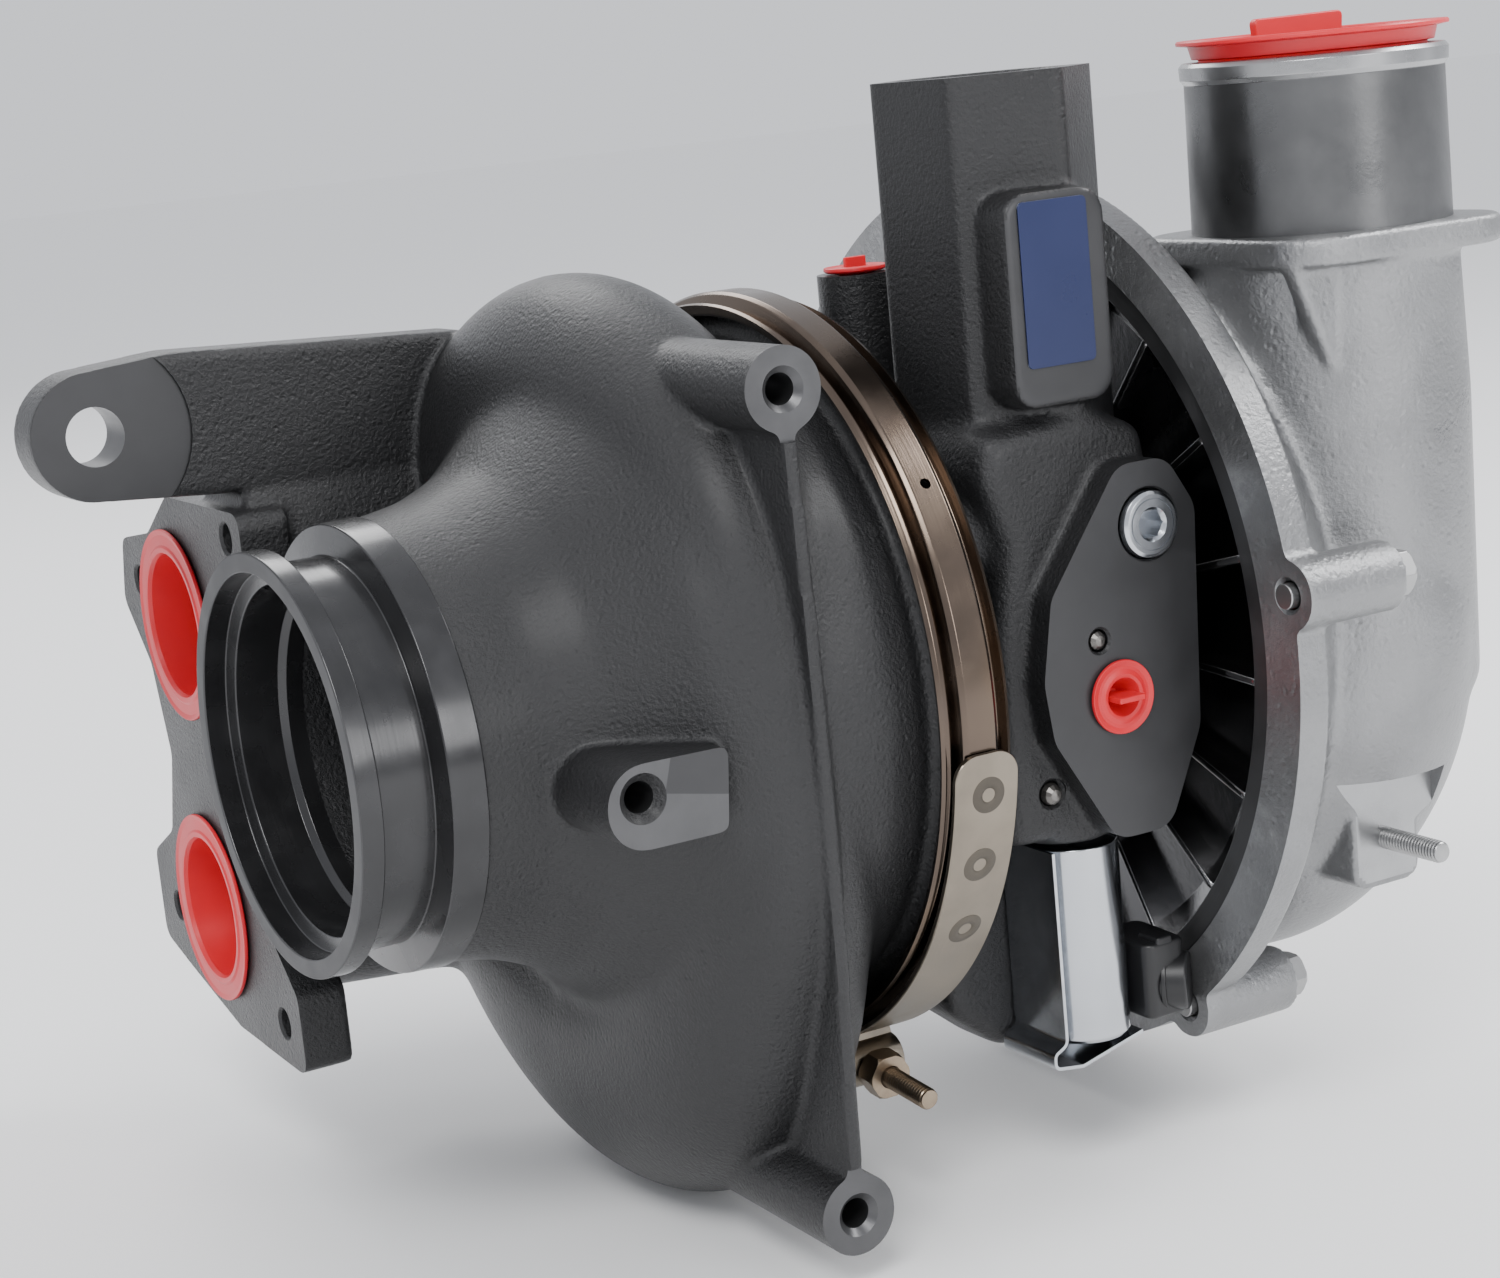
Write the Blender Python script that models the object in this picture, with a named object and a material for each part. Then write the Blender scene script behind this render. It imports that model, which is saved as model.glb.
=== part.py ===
"""Variable-geometry turbocharger: every separate piece as its own closed solid.

Frame: X runs along the rotor, exhaust outlet at -X and compressor at +X; +Z is up;
the origin is on the rotor's axis. Lengths below are millimetres; meshes are made in metres.
"""
import math

import bmesh
import bpy
from mathutils import Matrix, Vector

MM = 0.001
GAP = 0.3                                   # clearance kept between touching pieces

# Driving dimensions, mm.
OUTLET_X = -161.0                           # face of the exhaust outlet
OUTLET_R = 56.0
OUTLET_BORE_R = 45.5
JOINT_X = -12.5                             # where turbine housing and centre housing meet
FLANGE_R = 101.0                            # outer radius of that clamped joint
SCROLL_X = -54.0                            # mid-plane of the turbine scroll
BACKPLATE_X = 72.0                          # turbine-side face of the ribbed backplate's rim
BACKPLATE_R = 115.0
RIBS = 20
COVER_R = 129.0                             # rim of the compressor cover
COMPRESSOR_X = 124.0                        # mid-plane of the compressor scroll
INLET_END_X = 196.0                         # mouth of the compressor inlet
DUCT_X, DUCT_Y, DUCT_R = 130.0, -78.0, 35.0   # compressor outlet duct
DUCT_TOP_Z = 154.0
TOWER = (40.0, -50.0)                       # x, y of the hexagonal drain tower
TOWER_TOP_Z = 157.0
TOWER_SIDE = 30.4
TOWER_TURN = -21.5                          # degrees that one flat is turned from facing -Y
PAD_Y = -90.0                               # face of the actuator block
PISTON = (44.0, -72.0)                      # x, y of the vertical actuator bore
CRANK = (-59.9, -6.0)                       # y, z of the crank shaft's axis
CRANK_THROW = 10.0                          # from that axis to the pin in the unison ring
FLANGE_X = -140.0                           # face of the twin exhaust inlet flange
PORTS = ((128.0, 18.0), (130.0, -70.0))     # y, z of its two ports
FLANGE_HOLES = ((76.0, 49.0), (160.0, 28.0), (165.0, -77.0), (80.0, -95.0))
LUG = (-174.0, 83.0)                        # x, z of the lifting eye
BOSS_Z = (88.0, -125.0)                     # heights of the two tapped bosses
BOSS_Y = -93.0
VANES = 11
VANE_R = 51.0                               # circle of the vane spindles
SHAFT_R = 6.0
COVER_BOLT_R = 127.0
COVER_BOLTS = (171.5, 235.5, 292.0, 340.0, 28.0, 76.0)   # degrees, from +Y towards +Z
BAND_MID = -12.5                            # middle of the clamp band
BAND_R = 105.0
BOLT_FOOT_ANGLE = -86.0                     # where the clamp's bolt line is nearest the axis
BOLT_LINE_R = 107.8

MATERIALS = {                               # colour, roughness, metallic
    "cast_iron": ((0.045, 0.046, 0.050), 0.45, 0.55),
    "cast_aluminium": ((0.36, 0.37, 0.38), 0.38, 0.9),
    "steel": ((0.42, 0.41, 0.40), 0.30, 1.0),
    "tinted_steel": ((0.30, 0.25, 0.21), 0.28, 1.0),
    "bright_steel": ((0.62, 0.62, 0.62), 0.18, 1.0),
    "bronze": ((0.50, 0.33, 0.15), 0.30, 1.0),
    "wheel_alloy": ((0.25, 0.23, 0.21), 0.35, 1.0),
    "black_plastic": ((0.012, 0.012, 0.013), 0.40, 0.0),
    "red_plastic": ((0.60, 0.015, 0.02), 0.45, 0.0),
    "blue_label": ((0.02, 0.04, 0.20), 0.40, 0.0),
    "rubber": ((0.02, 0.02, 0.02), 0.70, 0.0),
}


def clear_scene():
    for old in list(bpy.data.objects):
        bpy.data.objects.remove(old)


def material(name):
    found = bpy.data.materials.get(name)
    if found:
        return found
    colour, roughness, metallic = MATERIALS[name]
    made = bpy.data.materials.new(name)
    made.use_nodes = True
    shader = made.node_tree.nodes["Principled BSDF"]
    shader.inputs["Base Color"].default_value = (*colour, 1.0)
    shader.inputs["Roughness"].default_value = roughness
    shader.inputs["Metallic"].default_value = metallic
    return made


def solid(name, points, faces, finish, origin=(0, 0, 0)):
    """An object from points in mm (world) and faces; its origin is put at the given place."""
    mesh = bpy.data.meshes.new(name)
    start = Vector(origin) * MM
    mesh.from_pydata([Vector(p) * MM - start for p in points], [], faces)
    builder = bmesh.new()
    builder.from_mesh(mesh)
    bmesh.ops.recalc_face_normals(builder, faces=builder.faces)
    builder.to_mesh(mesh)
    builder.free()
    mesh.materials.append(material(finish))
    mesh.shade_smooth()
    mesh.set_sharp_from_angle(angle=math.radians(32))
    made = bpy.data.objects.new(name, mesh)
    made.location = start
    bpy.context.collection.objects.link(made)
    return made


def axes(direction):
    """Two unit vectors square to a direction, so that shapes can be built round any axis."""
    along = Vector(direction).normalized()
    side = Vector((0, 0, 1)) if abs(along.z) < 0.9 else Vector((1, 0, 0))
    first = side.cross(along).normalized()
    return along, first, along.cross(first)


def turned(name, profile, finish, base=(0, 0, 0), direction=(1, 0, 0), sides=48):
    """A closed profile of (distance along the axis, radius) turned round the axis."""
    along, first, second = axes(direction)
    points, rings = [], []
    for distance, radius in profile:
        centre = Vector(base) + along * distance
        if radius == 0:
            rings.append([len(points)] * sides)
            points.append(centre)
            continue
        rings.append(list(range(len(points), len(points) + sides)))
        for k in range(sides):
            a = 2 * math.pi * k / sides
            points.append(centre + (first * math.cos(a) + second * math.sin(a)) * radius)
    faces = []
    pairs = list(zip(rings, rings[1:] + rings[:1]))
    for ring, following in pairs:
        if len(set(ring)) == 1 and len(set(following)) == 1:
            continue
        for k in range(sides):
            m = (k + 1) % sides
            corners = []
            for index in (ring[k], ring[m], following[m], following[k]):
                if index not in corners:
                    corners.append(index)
            faces.append(corners)
    return solid(name, points, faces, finish, base)


def rod(name, start, end, radius, finish, sides=24, chamfer=0.0):
    """A plain round bar between two points, with optional chamfered ends."""
    start, end = Vector(start), Vector(end)
    length = (end - start).length
    profile = [(0, 0), (0, radius - chamfer)]
    if chamfer:
        profile += [(chamfer, radius), (length - chamfer, radius)]
    profile += [(length, radius - chamfer), (length, 0)]
    return turned(name, profile, finish, start, end - start, sides)


def prism(name, outline, low, high, finish, plane="YZ"):
    """An outline pushed from low to high along the plane's own normal."""
    order = {"YZ": lambda a, b, n: (n, a, b), "XZ": lambda a, b, n: (a, n, b), "XY": lambda a, b, n: (a, b, n)}
    place = order[plane]
    count = len(outline)
    points = [place(a, b, low) for a, b in outline] + [place(a, b, high) for a, b in outline]
    faces = [list(range(count)), list(range(2 * count - 1, count - 1, -1))]
    for k in range(count):
        m = (k + 1) % count
        faces.append([k, m, count + m, count + k])
    return solid(name, points, faces, finish)


def block(name, low, high, finish):
    (x0, y0, z0), (x1, y1, z1) = low, high
    return prism(name, [(x0, y0), (x1, y0), (x1, y1), (x0, y1)], z0, z1, finish, "XY")


def rounded(corners, radius, steps=4):
    """A polygon's corners replaced by arcs of one radius; corners run anticlockwise."""
    outline = []
    count = len(corners)
    for k in range(count):
        here = Vector(corners[k])
        back = (Vector(corners[k - 1]) - here).normalized()
        ahead = (Vector(corners[(k + 1) % count]) - here).normalized()
        half = back.angle(ahead) / 2
        reach = radius / math.tan(half)
        centre = here + (back + ahead).normalized() * radius / math.sin(half)
        first, last = here + back * reach - centre, here + ahead * reach - centre
        for step in range(steps + 1):
            outline.append(tuple(centre + first.slerp(last, step / steps) * radius))
    return outline


def open_edges(mesh):
    builder = bmesh.new()
    builder.from_mesh(mesh)
    found = sum(1 for edge in builder.edges if not edge.is_manifold)
    builder.free()
    return found


def apply_boolean(target, tool, operation):
    """Cuts or joins, applies the result and removes the tool.

    The exact solver comes first; where it leaves an open edge or changes nothing, the
    manifold one takes over.
    """
    step = target.modifiers.new(operation, "BOOLEAN")
    step.operation = operation
    step.object = tool
    for solver in ("EXACT", "MANIFOLD"):
        step.solver = solver
        bpy.context.view_layer.update()
        graph = bpy.context.evaluated_depsgraph_get()
        result = bpy.data.meshes.new_from_object(target.evaluated_get(graph))
        worked = not open_edges(result) and len(result.vertices) != len(target.data.vertices)
        if worked:
            break
    if not worked:
        raise RuntimeError(f"{operation} of {tool.name} had no effect on {target.name}")
    target.modifiers.clear()
    name = target.data.name
    target.data = result
    result.name = name
    bpy.data.objects.remove(tool)


def join(target, *tools):
    for tool in tools:
        apply_boolean(target, tool, "UNION")
    return target


def cut(target, *tools):
    for tool in tools:
        apply_boolean(target, tool, "DIFFERENCE")
    return target


def on_circle(radius, degrees, x=0.0):
    a = math.radians(degrees)
    return Vector((x, radius * math.cos(a), radius * math.sin(a)))


def periodic(knots, degrees):
    """A smooth closed curve of value against angle, through the knots (angle, value)."""
    knots = sorted(knots)
    angle = (degrees - knots[0][0]) % 360 + knots[0][0]
    count = len(knots)
    for k in range(count):
        a0, v0 = knots[k]
        a1, v1 = knots[(k + 1) % count]
        a1 = a1 if a1 > a0 else a1 + 360
        if a0 <= angle <= a1:
            before, after = knots[k - 1][1], knots[(k + 2) % count][1]
            t = (angle - a0) / (a1 - a0)
            return v0 + 0.5 * t * (v1 - before + t * (2 * before - 5 * v0 + 4 * v1 - after
                                                     + t * (3 * (v0 - v1) + after - before)))
    return knots[0][1]


def scroll(name, reach, inner, half_width, mid_x, finish, around=20, sides=8, squash=1.0):
    """A ring of oval sections whose outer radius follows reach(angle): the scroll's skin."""
    points, faces = [], []
    for i in range(around):
        degrees = 360 * i / around
        outer = reach(degrees)
        centre_r, semi = (outer + inner) / 2, (outer - inner) / 2
        wide = half_width(degrees)
        for k in range(sides):
            a = 2 * math.pi * k / sides
            at = on_circle(centre_r + semi * squash * math.cos(a), degrees, mid_x + wide * math.sin(a))
            points.append(at)
    for i in range(around):
        for k in range(sides):
            m, n = (k + 1) % sides, (i + 1) % around
            faces.append([i * sides + k, i * sides + m, n * sides + m, n * sides + k])
    return solid(name, points, faces, finish)


# ---------------------------------------------------------------- turbine side

TURBINE_REACH = ((180, 95), (135, 103), (90, 114), (45, 126), (0, 137), (-45, 147), (-84, 146), (-112, 136),
                 (-140, 112))


def turbine_reach(degrees):
    return periodic(TURBINE_REACH, degrees)


def turbine_width(degrees):
    return 22 + 0.20 * (turbine_reach(degrees) - 95)


def port_legs(name, radius, far_x, finish):
    """Each port's straight mouth and the slanted run that leads it into the scroll."""
    legs = []
    for (y, z), target in zip(PORTS, ((88.0, 30.0), (84.0, -62.0))):
        bend = Vector((FLANGE_X + 24, y, z))
        legs.append(rod(name, (far_x, y, z), bend, radius, finish, 12))
        legs.append(rod(name, bend - Vector((6, 0, 0)), (SCROLL_X, *target), radius, finish, 12))
    return legs


def turbine_housing():
    metal = "cast_iron"
    skin = [(OUTLET_X, OUTLET_R), (-154.5, OUTLET_R), (-153.5, 51.5), (-139, 51.5), (-138, 59.5), (-126, 59.8),
            (-112, 62), (-98, 68), (-86, 78), (-76, 88), (-62, 94), (-34, 96), (-24.5, 93), (-20.0, 93),
            (-15.2, FLANGE_R), (JOINT_X - GAP, FLANGE_R)]
    bore = [(JOINT_X - GAP, 80), (-38, 80), (-38, 58), (-41, 46.5), (-50, 39), (-70, 37.8), (-95, 41),
            (-118, 43), (-140, 43), (-142, OUTLET_BORE_R), (-153.5, OUTLET_BORE_R + 1), (-154.5, 50.7),
            (OUTLET_X, 50.7)]
    outer = turned("turbine_housing", skin + [(JOINT_X - GAP, 0), (OUTLET_X, 0)], metal, sides=26)
    join(outer, scroll("scroll", turbine_reach, 52, turbine_width, SCROLL_X, metal))
    join(outer, *port_legs("duct", 31, FLANGE_X + 6, metal))
    plate = [(64, 57), (125, 57), (146, 44), (172, 40), (178, 20), (160, 2), (152, -26), (162, -52), (182, -62),
             (182, -90), (160, -96), (120, -106), (66, -108), (66, -84), (92, -60), (92, 4), (64, 34)]
    join(outer, prism("plate", rounded(plate[::-1], 5.0, 2), FLANGE_X, FLANGE_X + 15, metal))
    arm = [(LUG[0], LUG[1] - 18), (-140, 62), (-66, 62), (-62, 98), (-150, 103), (LUG[0], LUG[1] + 18)]
    join(outer, prism("arm", arm, 72, 88, metal, "XZ"),
         rod("eye", (LUG[0], 72, LUG[1]), (LUG[0], 88, LUG[1]), 18, metal, 18),
         prism("web", [(66, 40), (110, 40), (100, 76), (74, 76)], FLANGE_X + 5, -70, metal))
    for z, depth in zip(BOSS_Z, (8.0, 30.0)):
        join(outer, rod("boss", (SCROLL_X, BOSS_Y, z), (SCROLL_X, depth, z), 10.5, metal, 10))
    high, low = BOSS_Z
    rib = [(BOSS_Y, low), (-60, low), (-60, high), (BOSS_Y, high), (-95.5, 45), (-96.6, 0), (-95.8, -60)]
    join(outer, prism("rib", rib, SCROLL_X - 2, SCROLL_X + 2, metal))
    tab = rounded([(-112, -17), (-80, -17), (-78, 3.5), (-112, 4)], 10, 3)
    join(outer, prism("tab", tab, -92, -60, metal, "XZ"))
    # Hollows: gas passage, ports, rotor bore, tapped holes.
    ends = [(OUTLET_X - 5, 50.7), (OUTLET_X - 5, 0), (JOINT_X + 5, 0), (JOINT_X + 5, 80)]
    hollow = turned("bore", bore + ends, metal, sides=22)
    cut(outer, hollow)
    cut(outer, scroll("gas", lambda d: turbine_reach(d) - 7, 52, lambda d: turbine_width(d) - 7,
                      SCROLL_X, metal))
    cut(outer, *port_legs("port", 23.5, FLANGE_X - 2, metal))
    for y, z in FLANGE_HOLES:
        cut(outer, rod("hole", (FLANGE_X - 2, y, z), (FLANGE_X + 17, y, z), 4.3, metal, 8))
    for z in BOSS_Z:
        cut(outer, rod("tap", (SCROLL_X, BOSS_Y - 2, z), (SCROLL_X, BOSS_Y + 22, z), 4.0, metal, 8))
    cut(outer, rod("tap", (-102, -94, -4.5), (-102, -74, -4.5), 4.0, metal, 8),
        rod("eye_hole", (LUG[0], 68, LUG[1]), (LUG[0], 92, LUG[1]), 8.2, metal, 14))
    return outer


def turbine_wheel():
    """Hub, blades and the shaft, which are welded into one rotor."""
    hub = [(-64, 0), (-64, 6), (-60, 9), (-48, 12), (-38, 20), (-33, 34), (-31, 34), (-31, 12), (-22, 12),
           (-22, 8.5), (-12, 8.5), (-12, SHAFT_R), (62, SHAFT_R), (62, 4.5), (133, 4.5), (133, 0)]
    wheel = turned("turbine_wheel", hub, "wheel_alloy", sides=18)
    for k in range(10):
        blade = blade_solid("blade", 36 * k, -62, -33, 36.0, 41.0, 0.9, 26.0, "wheel_alloy", 2)
        join(wheel, blade)
    return wheel


def blade_solid(name, start, x0, x1, tip0, tip1, thick, sweep, finish, steps=4, root=7.0):
    """A thin curved blade between two planes; sweep is how far it leans round the axis."""
    points = []
    for i in range(steps + 1):
        t = i / steps
        x = x0 + (x1 - x0) * t
        tip = tip0 + (tip1 - tip0) * t ** 1.6
        lean = start + sweep * (t - 1) ** 2
        for side in (-1, 1):
            for radius in (root, tip):
                offset = math.degrees(thick * side / radius)
                points.append(on_circle(radius, lean + offset, x))
    faces = []
    for i in range(steps):
        a, b = 4 * i, 4 * i + 4
        faces += [[a, a + 1, b + 1, b], [a + 2, b + 2, b + 3, a + 3], [a + 1, a + 3, b + 3, b + 1],
                  [a, b, b + 2, a + 2]]
    last = 4 * steps
    faces += [[0, 2, 3, 1], [last, last + 1, last + 3, last + 2]]
    return solid(name, points, faces, finish)


def nozzle_ring():
    """The fixed ring that carries the vane spindles."""
    ring = turned("nozzle_ring", [(-28.5, 45.0), (-28.5, 76.5), (-24, 76.5), (-24, 45.0)], "steel", sides=22)
    for k in range(VANES):
        at = on_circle(VANE_R, 360 * k / VANES)
        cut(ring, rod("hole", at + Vector((-32, 0, 0)), at + Vector((-20, 0, 0)), 2.6, "steel", 6))
    return ring


def unison_ring():
    """The turning ring whose slots swing the vane levers and which the crank drives."""
    section = [(-21.5, 58.0), (-21.5, 75.0), (-18.5, 75.0), (-18.5, 58.0)]
    ring = turned("unison_ring", section, "steel", sides=22)
    for k in range(VANES):
        at = on_circle(57.0, 360 * k / VANES)
        cut(ring, rod("slot", at + Vector((-24, 0, 0)), at + Vector((-16, 0, 0)), 5.2, "steel", 8))
    y, z = CRANK
    cut(ring, rod("pin_way", (-24, y - CRANK_THROW, z), (-16, y - CRANK_THROW, z), 3.4, "steel", 10))
    return ring


def vane(number):
    """Aerofoil, spindle and lever, made as one piece that turns on its spindle."""
    degrees = 360 * number / VANES
    pivot = on_circle(VANE_R, degrees)
    radial = on_circle(1, degrees)
    round_way = on_circle(1, degrees + 90)
    chord = (round_way * 0.92 - radial * 0.38).normalized()
    across = Vector((1, 0, 0)).cross(chord)
    foil = [(-10, 0), (-6, -1.5), (0, -2.2), (7, -1.2), (12, 0), (7, 1.2), (0, 1.9), (-6, 1.0)]
    points = [pivot + chord * a + across * b + Vector((x, 0, 0)) for x in (-37.2, -29.0) for a, b in foil]
    count = len(foil)
    faces = [list(range(count)), list(range(2 * count - 1, count - 1, -1))]
    faces += [[k, (k + 1) % count, count + (k + 1) % count, count + k] for k in range(count)]
    name = f"nozzle_vane_{number + 1:02d}"
    wing = solid(name, points, faces, "wheel_alloy", pivot)
    join(wing, rod("spindle", pivot + Vector((-30, 0, 0)), pivot + Vector((-19, 0, 0)), 2.2, "wheel_alloy", 8))
    tip = pivot + radial * 6.4
    lever = [pivot - round_way * 2.4, pivot + round_way * 2.4, tip + round_way * 2.0, tip - round_way * 2.0]
    points = [p + Vector((x, 0, 0)) for x in (-21.4, -18.6) for p in lever]
    faces = [[0, 1, 2, 3], [7, 6, 5, 4]] + [[k, (k + 1) % 4, 4 + (k + 1) % 4, 4 + k] for k in range(4)]
    return join(wing, solid("lever", points, faces, "wheel_alloy"))


def crank_shaft():
    """Short shaft with the arm that drives the unison ring and the pinion that the piston's rack turns."""
    y, z = CRANK
    base = Vector((0, y, z))
    shaft = rod("crank_shaft", base + Vector((-15, 0, 0)), base + Vector((52, 0, 0)), 4.0, "steel", 12)
    pinion = turned("pinion", [(38, 0), (38, 6.2), (50, 6.2), (50, 0)], "steel", base, sides=14)
    arm = [(y - 13, z - 3.6), (y + 4.5, z - 4.5), (y + 4.5, z + 4.5), (y - 13, z + 3.6)]
    pin = rod("pin", (-21.2, y - CRANK_THROW, z), (-14, y - CRANK_THROW, z), 2.0, "steel", 8)
    return join(shaft, pinion, prism("arm", arm, -15, -11.5, "steel"), pin)


def heat_shield():
    section = [(-22.6, 14), (-22.6, 38), (-13.8, 44), (-13.8, 54), (-12.9, 54), (-12.9, 43.2), (-21.6, 37.2),
               (-21.6, 14)]
    return turned("heat_shield", section, "steel", sides=20)


# ---------------------------------------------------------------- centre section


def hexagon(centre, side, turn):
    return [(centre[0] + side * math.sin(math.radians(turn + 30 + 60 * k)),
             centre[1] - side * math.cos(math.radians(turn + 30 + 60 * k))) for k in range(6)]


def centre_housing():
    metal = "cast_iron"
    face = JOINT_X
    skin = [(face, 0), (face, FLANGE_R), (-9.8, FLANGE_R), (-5.2, 93), (-1, 88), (4, 70), (10, 52), (20, 44),
            (44, 44), (54, 50), (58, 66), (68.4, 66), (68.4, 0)]
    body = turned("centre_housing", skin, metal, sides=28)
    plate = [(38, -46), (56, -46), (68, -20), (70.6, 40), (62, 54), (46, 54), (22, 22), (18, 0), (20, -16)]
    join(body, prism("actuator", rounded(plate, 8, 2), PAD_Y, -65, metal, "XZ"))
    flank = [(10, -46), (38, -46), (56, -30), (68, 20), (64, 62), (46, 68), (12, 66), (9, 54), (16, 34),
             (11, 8)]
    join(body, prism("flank", rounded(flank, 4, 1), -81, -20, metal, "XZ"))
    foot = [(4, -82), (7, -98), (24, -112), (40, -108), (42, -40), (8, -40)]
    join(body, prism("foot", rounded(foot, 3, 1), -50, -24, metal, "XZ"))
    join(body, rod("crank_boss", (-8, *CRANK), (22, *CRANK), 10, metal, 16))
    tower = prism("tower", hexagon(TOWER, TOWER_SIDE, TOWER_TURN), 10, TOWER_TOP_Z, metal, "XY")
    join(body, tower)
    pad = rounded([(20.5, 71), (52, 71), (52, 126.5), (20.5, 126.5)], 8, 3)
    join(body, prism("pad", pad, -84, -50, metal, "XZ"))
    join(body, rod("oil_post", (27, 0, 20), (27, 0, 105), 11, metal, 14),
         rod("valve_boss", (PISTON[0] - 4, -64, -49), (PISTON[0] - 4, -64, -10), 17, metal, 16))
    # Hollows: rotor bore with its seats, ring chamber, actuator bore, drain, oil feed.
    bore = [(face - 1, 0), (face - 1, 78), (-8, 78), (-6, 60), (-4, 36), (-4, 9.2), (6, 9.2), (6, 10.6),
            (20, 10.6), (20, 10.4), (36, 10.4), (36, 10.6), (50, 10.6), (50, 24), (70, 24), (70, 0)]
    cut(body, turned("bore", bore, metal, sides=22))
    cut(body, rod("drain", (TOWER[0], TOWER[1], 24), (TOWER[0], TOWER[1], TOWER_TOP_Z + 2), 21, metal, 20))
    cut(body, rod("crank_bore", (-14, *CRANK), (54, *CRANK), 4.6, metal, 12),
        rod("pinion_room", (36, *CRANK), (54, *CRANK), 7.2, metal, 14))
    cut(body, rod("piston_bore", (*PISTON, -52), (*PISTON, 34), 8.4, metal, 16))
    cut(body, rod("oil_feed", (27, 0, 8), (27, 0, 108), 5, metal, 12))
    cut(body, rod("plug_seat", (55, PAD_Y - 1, 37), (55, PAD_Y + 16, 37), 9.6, metal, 16),
        rod("port", (42, PAD_Y - 1, -7.3), (42, PAD_Y + 7, -7.3), 6.5, metal, 14),
        rod("ball_seat", (36.6, PAD_Y - 1, 8.6), (36.6, PAD_Y + 5, 8.6), 3.1, metal, 10),
        rod("ball_seat", (24, -82, -32), (24, -76, -32), 3.4, metal, 10))
    for degrees in (30, 150, 270):
        at = on_circle(56, degrees)
        cut(body, rod("bolt_way", at + Vector((58, 0, 0)), at + Vector((70, 0, 0)), 3.4, metal, 8))
    return body


def plain_ring(name, low, high, inner, outer, finish, sides=18):
    """A plain square-section ring round the rotor."""
    return turned(name, [(low, inner), (low, outer), (high, outer), (high, inner)], finish, sides=sides)


def rotor_bearings():
    plain_ring("journal_bearing_turbine", 8, 19.4, 6.4, 10.2, "bronze")
    plain_ring("journal_bearing_compressor", 36.6, 48, 6.4, 10.2, "bronze")
    plain_ring("bearing_spacer", 20.4, 35.6, 8.2, 9.9, "steel")
    plain_ring("thrust_bearing", 51, 54, 8.6, 23.4, "bronze")
    plain_ring("seal_ring_turbine", -1.5, 0.5, 8.8, 9.05, "steel")
    collar = [(54.6, 6.4), (54.6, 15), (56.6, 15), (56.6, 9.5), (61.5, 9.5), (61.5, 6.4)]
    turned("thrust_collar", collar, "steel", sides=18)


def backplate():
    """Dished disc with raised radial ribs on its bearing side."""
    skin = [(68.8, 12.4), (68.8, 60), (72, 66), (80, 74), (81, 100), (79, 108), (BACKPLATE_X, 108.5),
            (BACKPLATE_X, BACKPLATE_R), (77.0, BACKPLATE_R), (77.0, 112.8), (79.4, 112.8), (79.4, BACKPLATE_R),
            (84, BACKPLATE_R), (84, 46), (78.6, 46), (78.6, 12.4)]
    plate = turned("backplate", skin, "cast_iron", sides=32)
    for k in range(RIBS):
        degrees = 360 * k / RIBS + 4
        radial, way = on_circle(1, degrees), on_circle(1, degrees + 90)
        corners = [(69.2, 58), (82.0, 58), (82.0, 110), (73.4, 110), (73.4, 76), (69.2, 64)]
        points = [radial * r + way * s + Vector((x, 0, 0)) for s in (-1.1, 1.1) for x, r in corners]
        count = len(corners)
        faces = [list(range(count)), list(range(2 * count - 1, count - 1, -1))]
        faces += [[i, (i + 1) % count, count + (i + 1) % count, count + i] for i in range(count)]
        join(plate, solid("rib", points, faces, "cast_iron"))
    for degrees in (30, 150, 270):
        at = on_circle(56, degrees)
        cut(plate, rod("bolt_way", at + Vector((60, 0, 0)), at + Vector((88, 0, 0)), 3.4, "cast_iron", 8))
    return plate


# ---------------------------------------------------------------- compressor side

COVER_REACH = ((180, 119), (225, 117), (270, 112), (315, 108), (0, 104), (45, 100), (90, 96), (135, 98))


def cover_reach(degrees):
    return periodic(COVER_REACH, degrees)


def cover_width(degrees):
    return 0.46 * (cover_reach(degrees) - 46)


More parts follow.
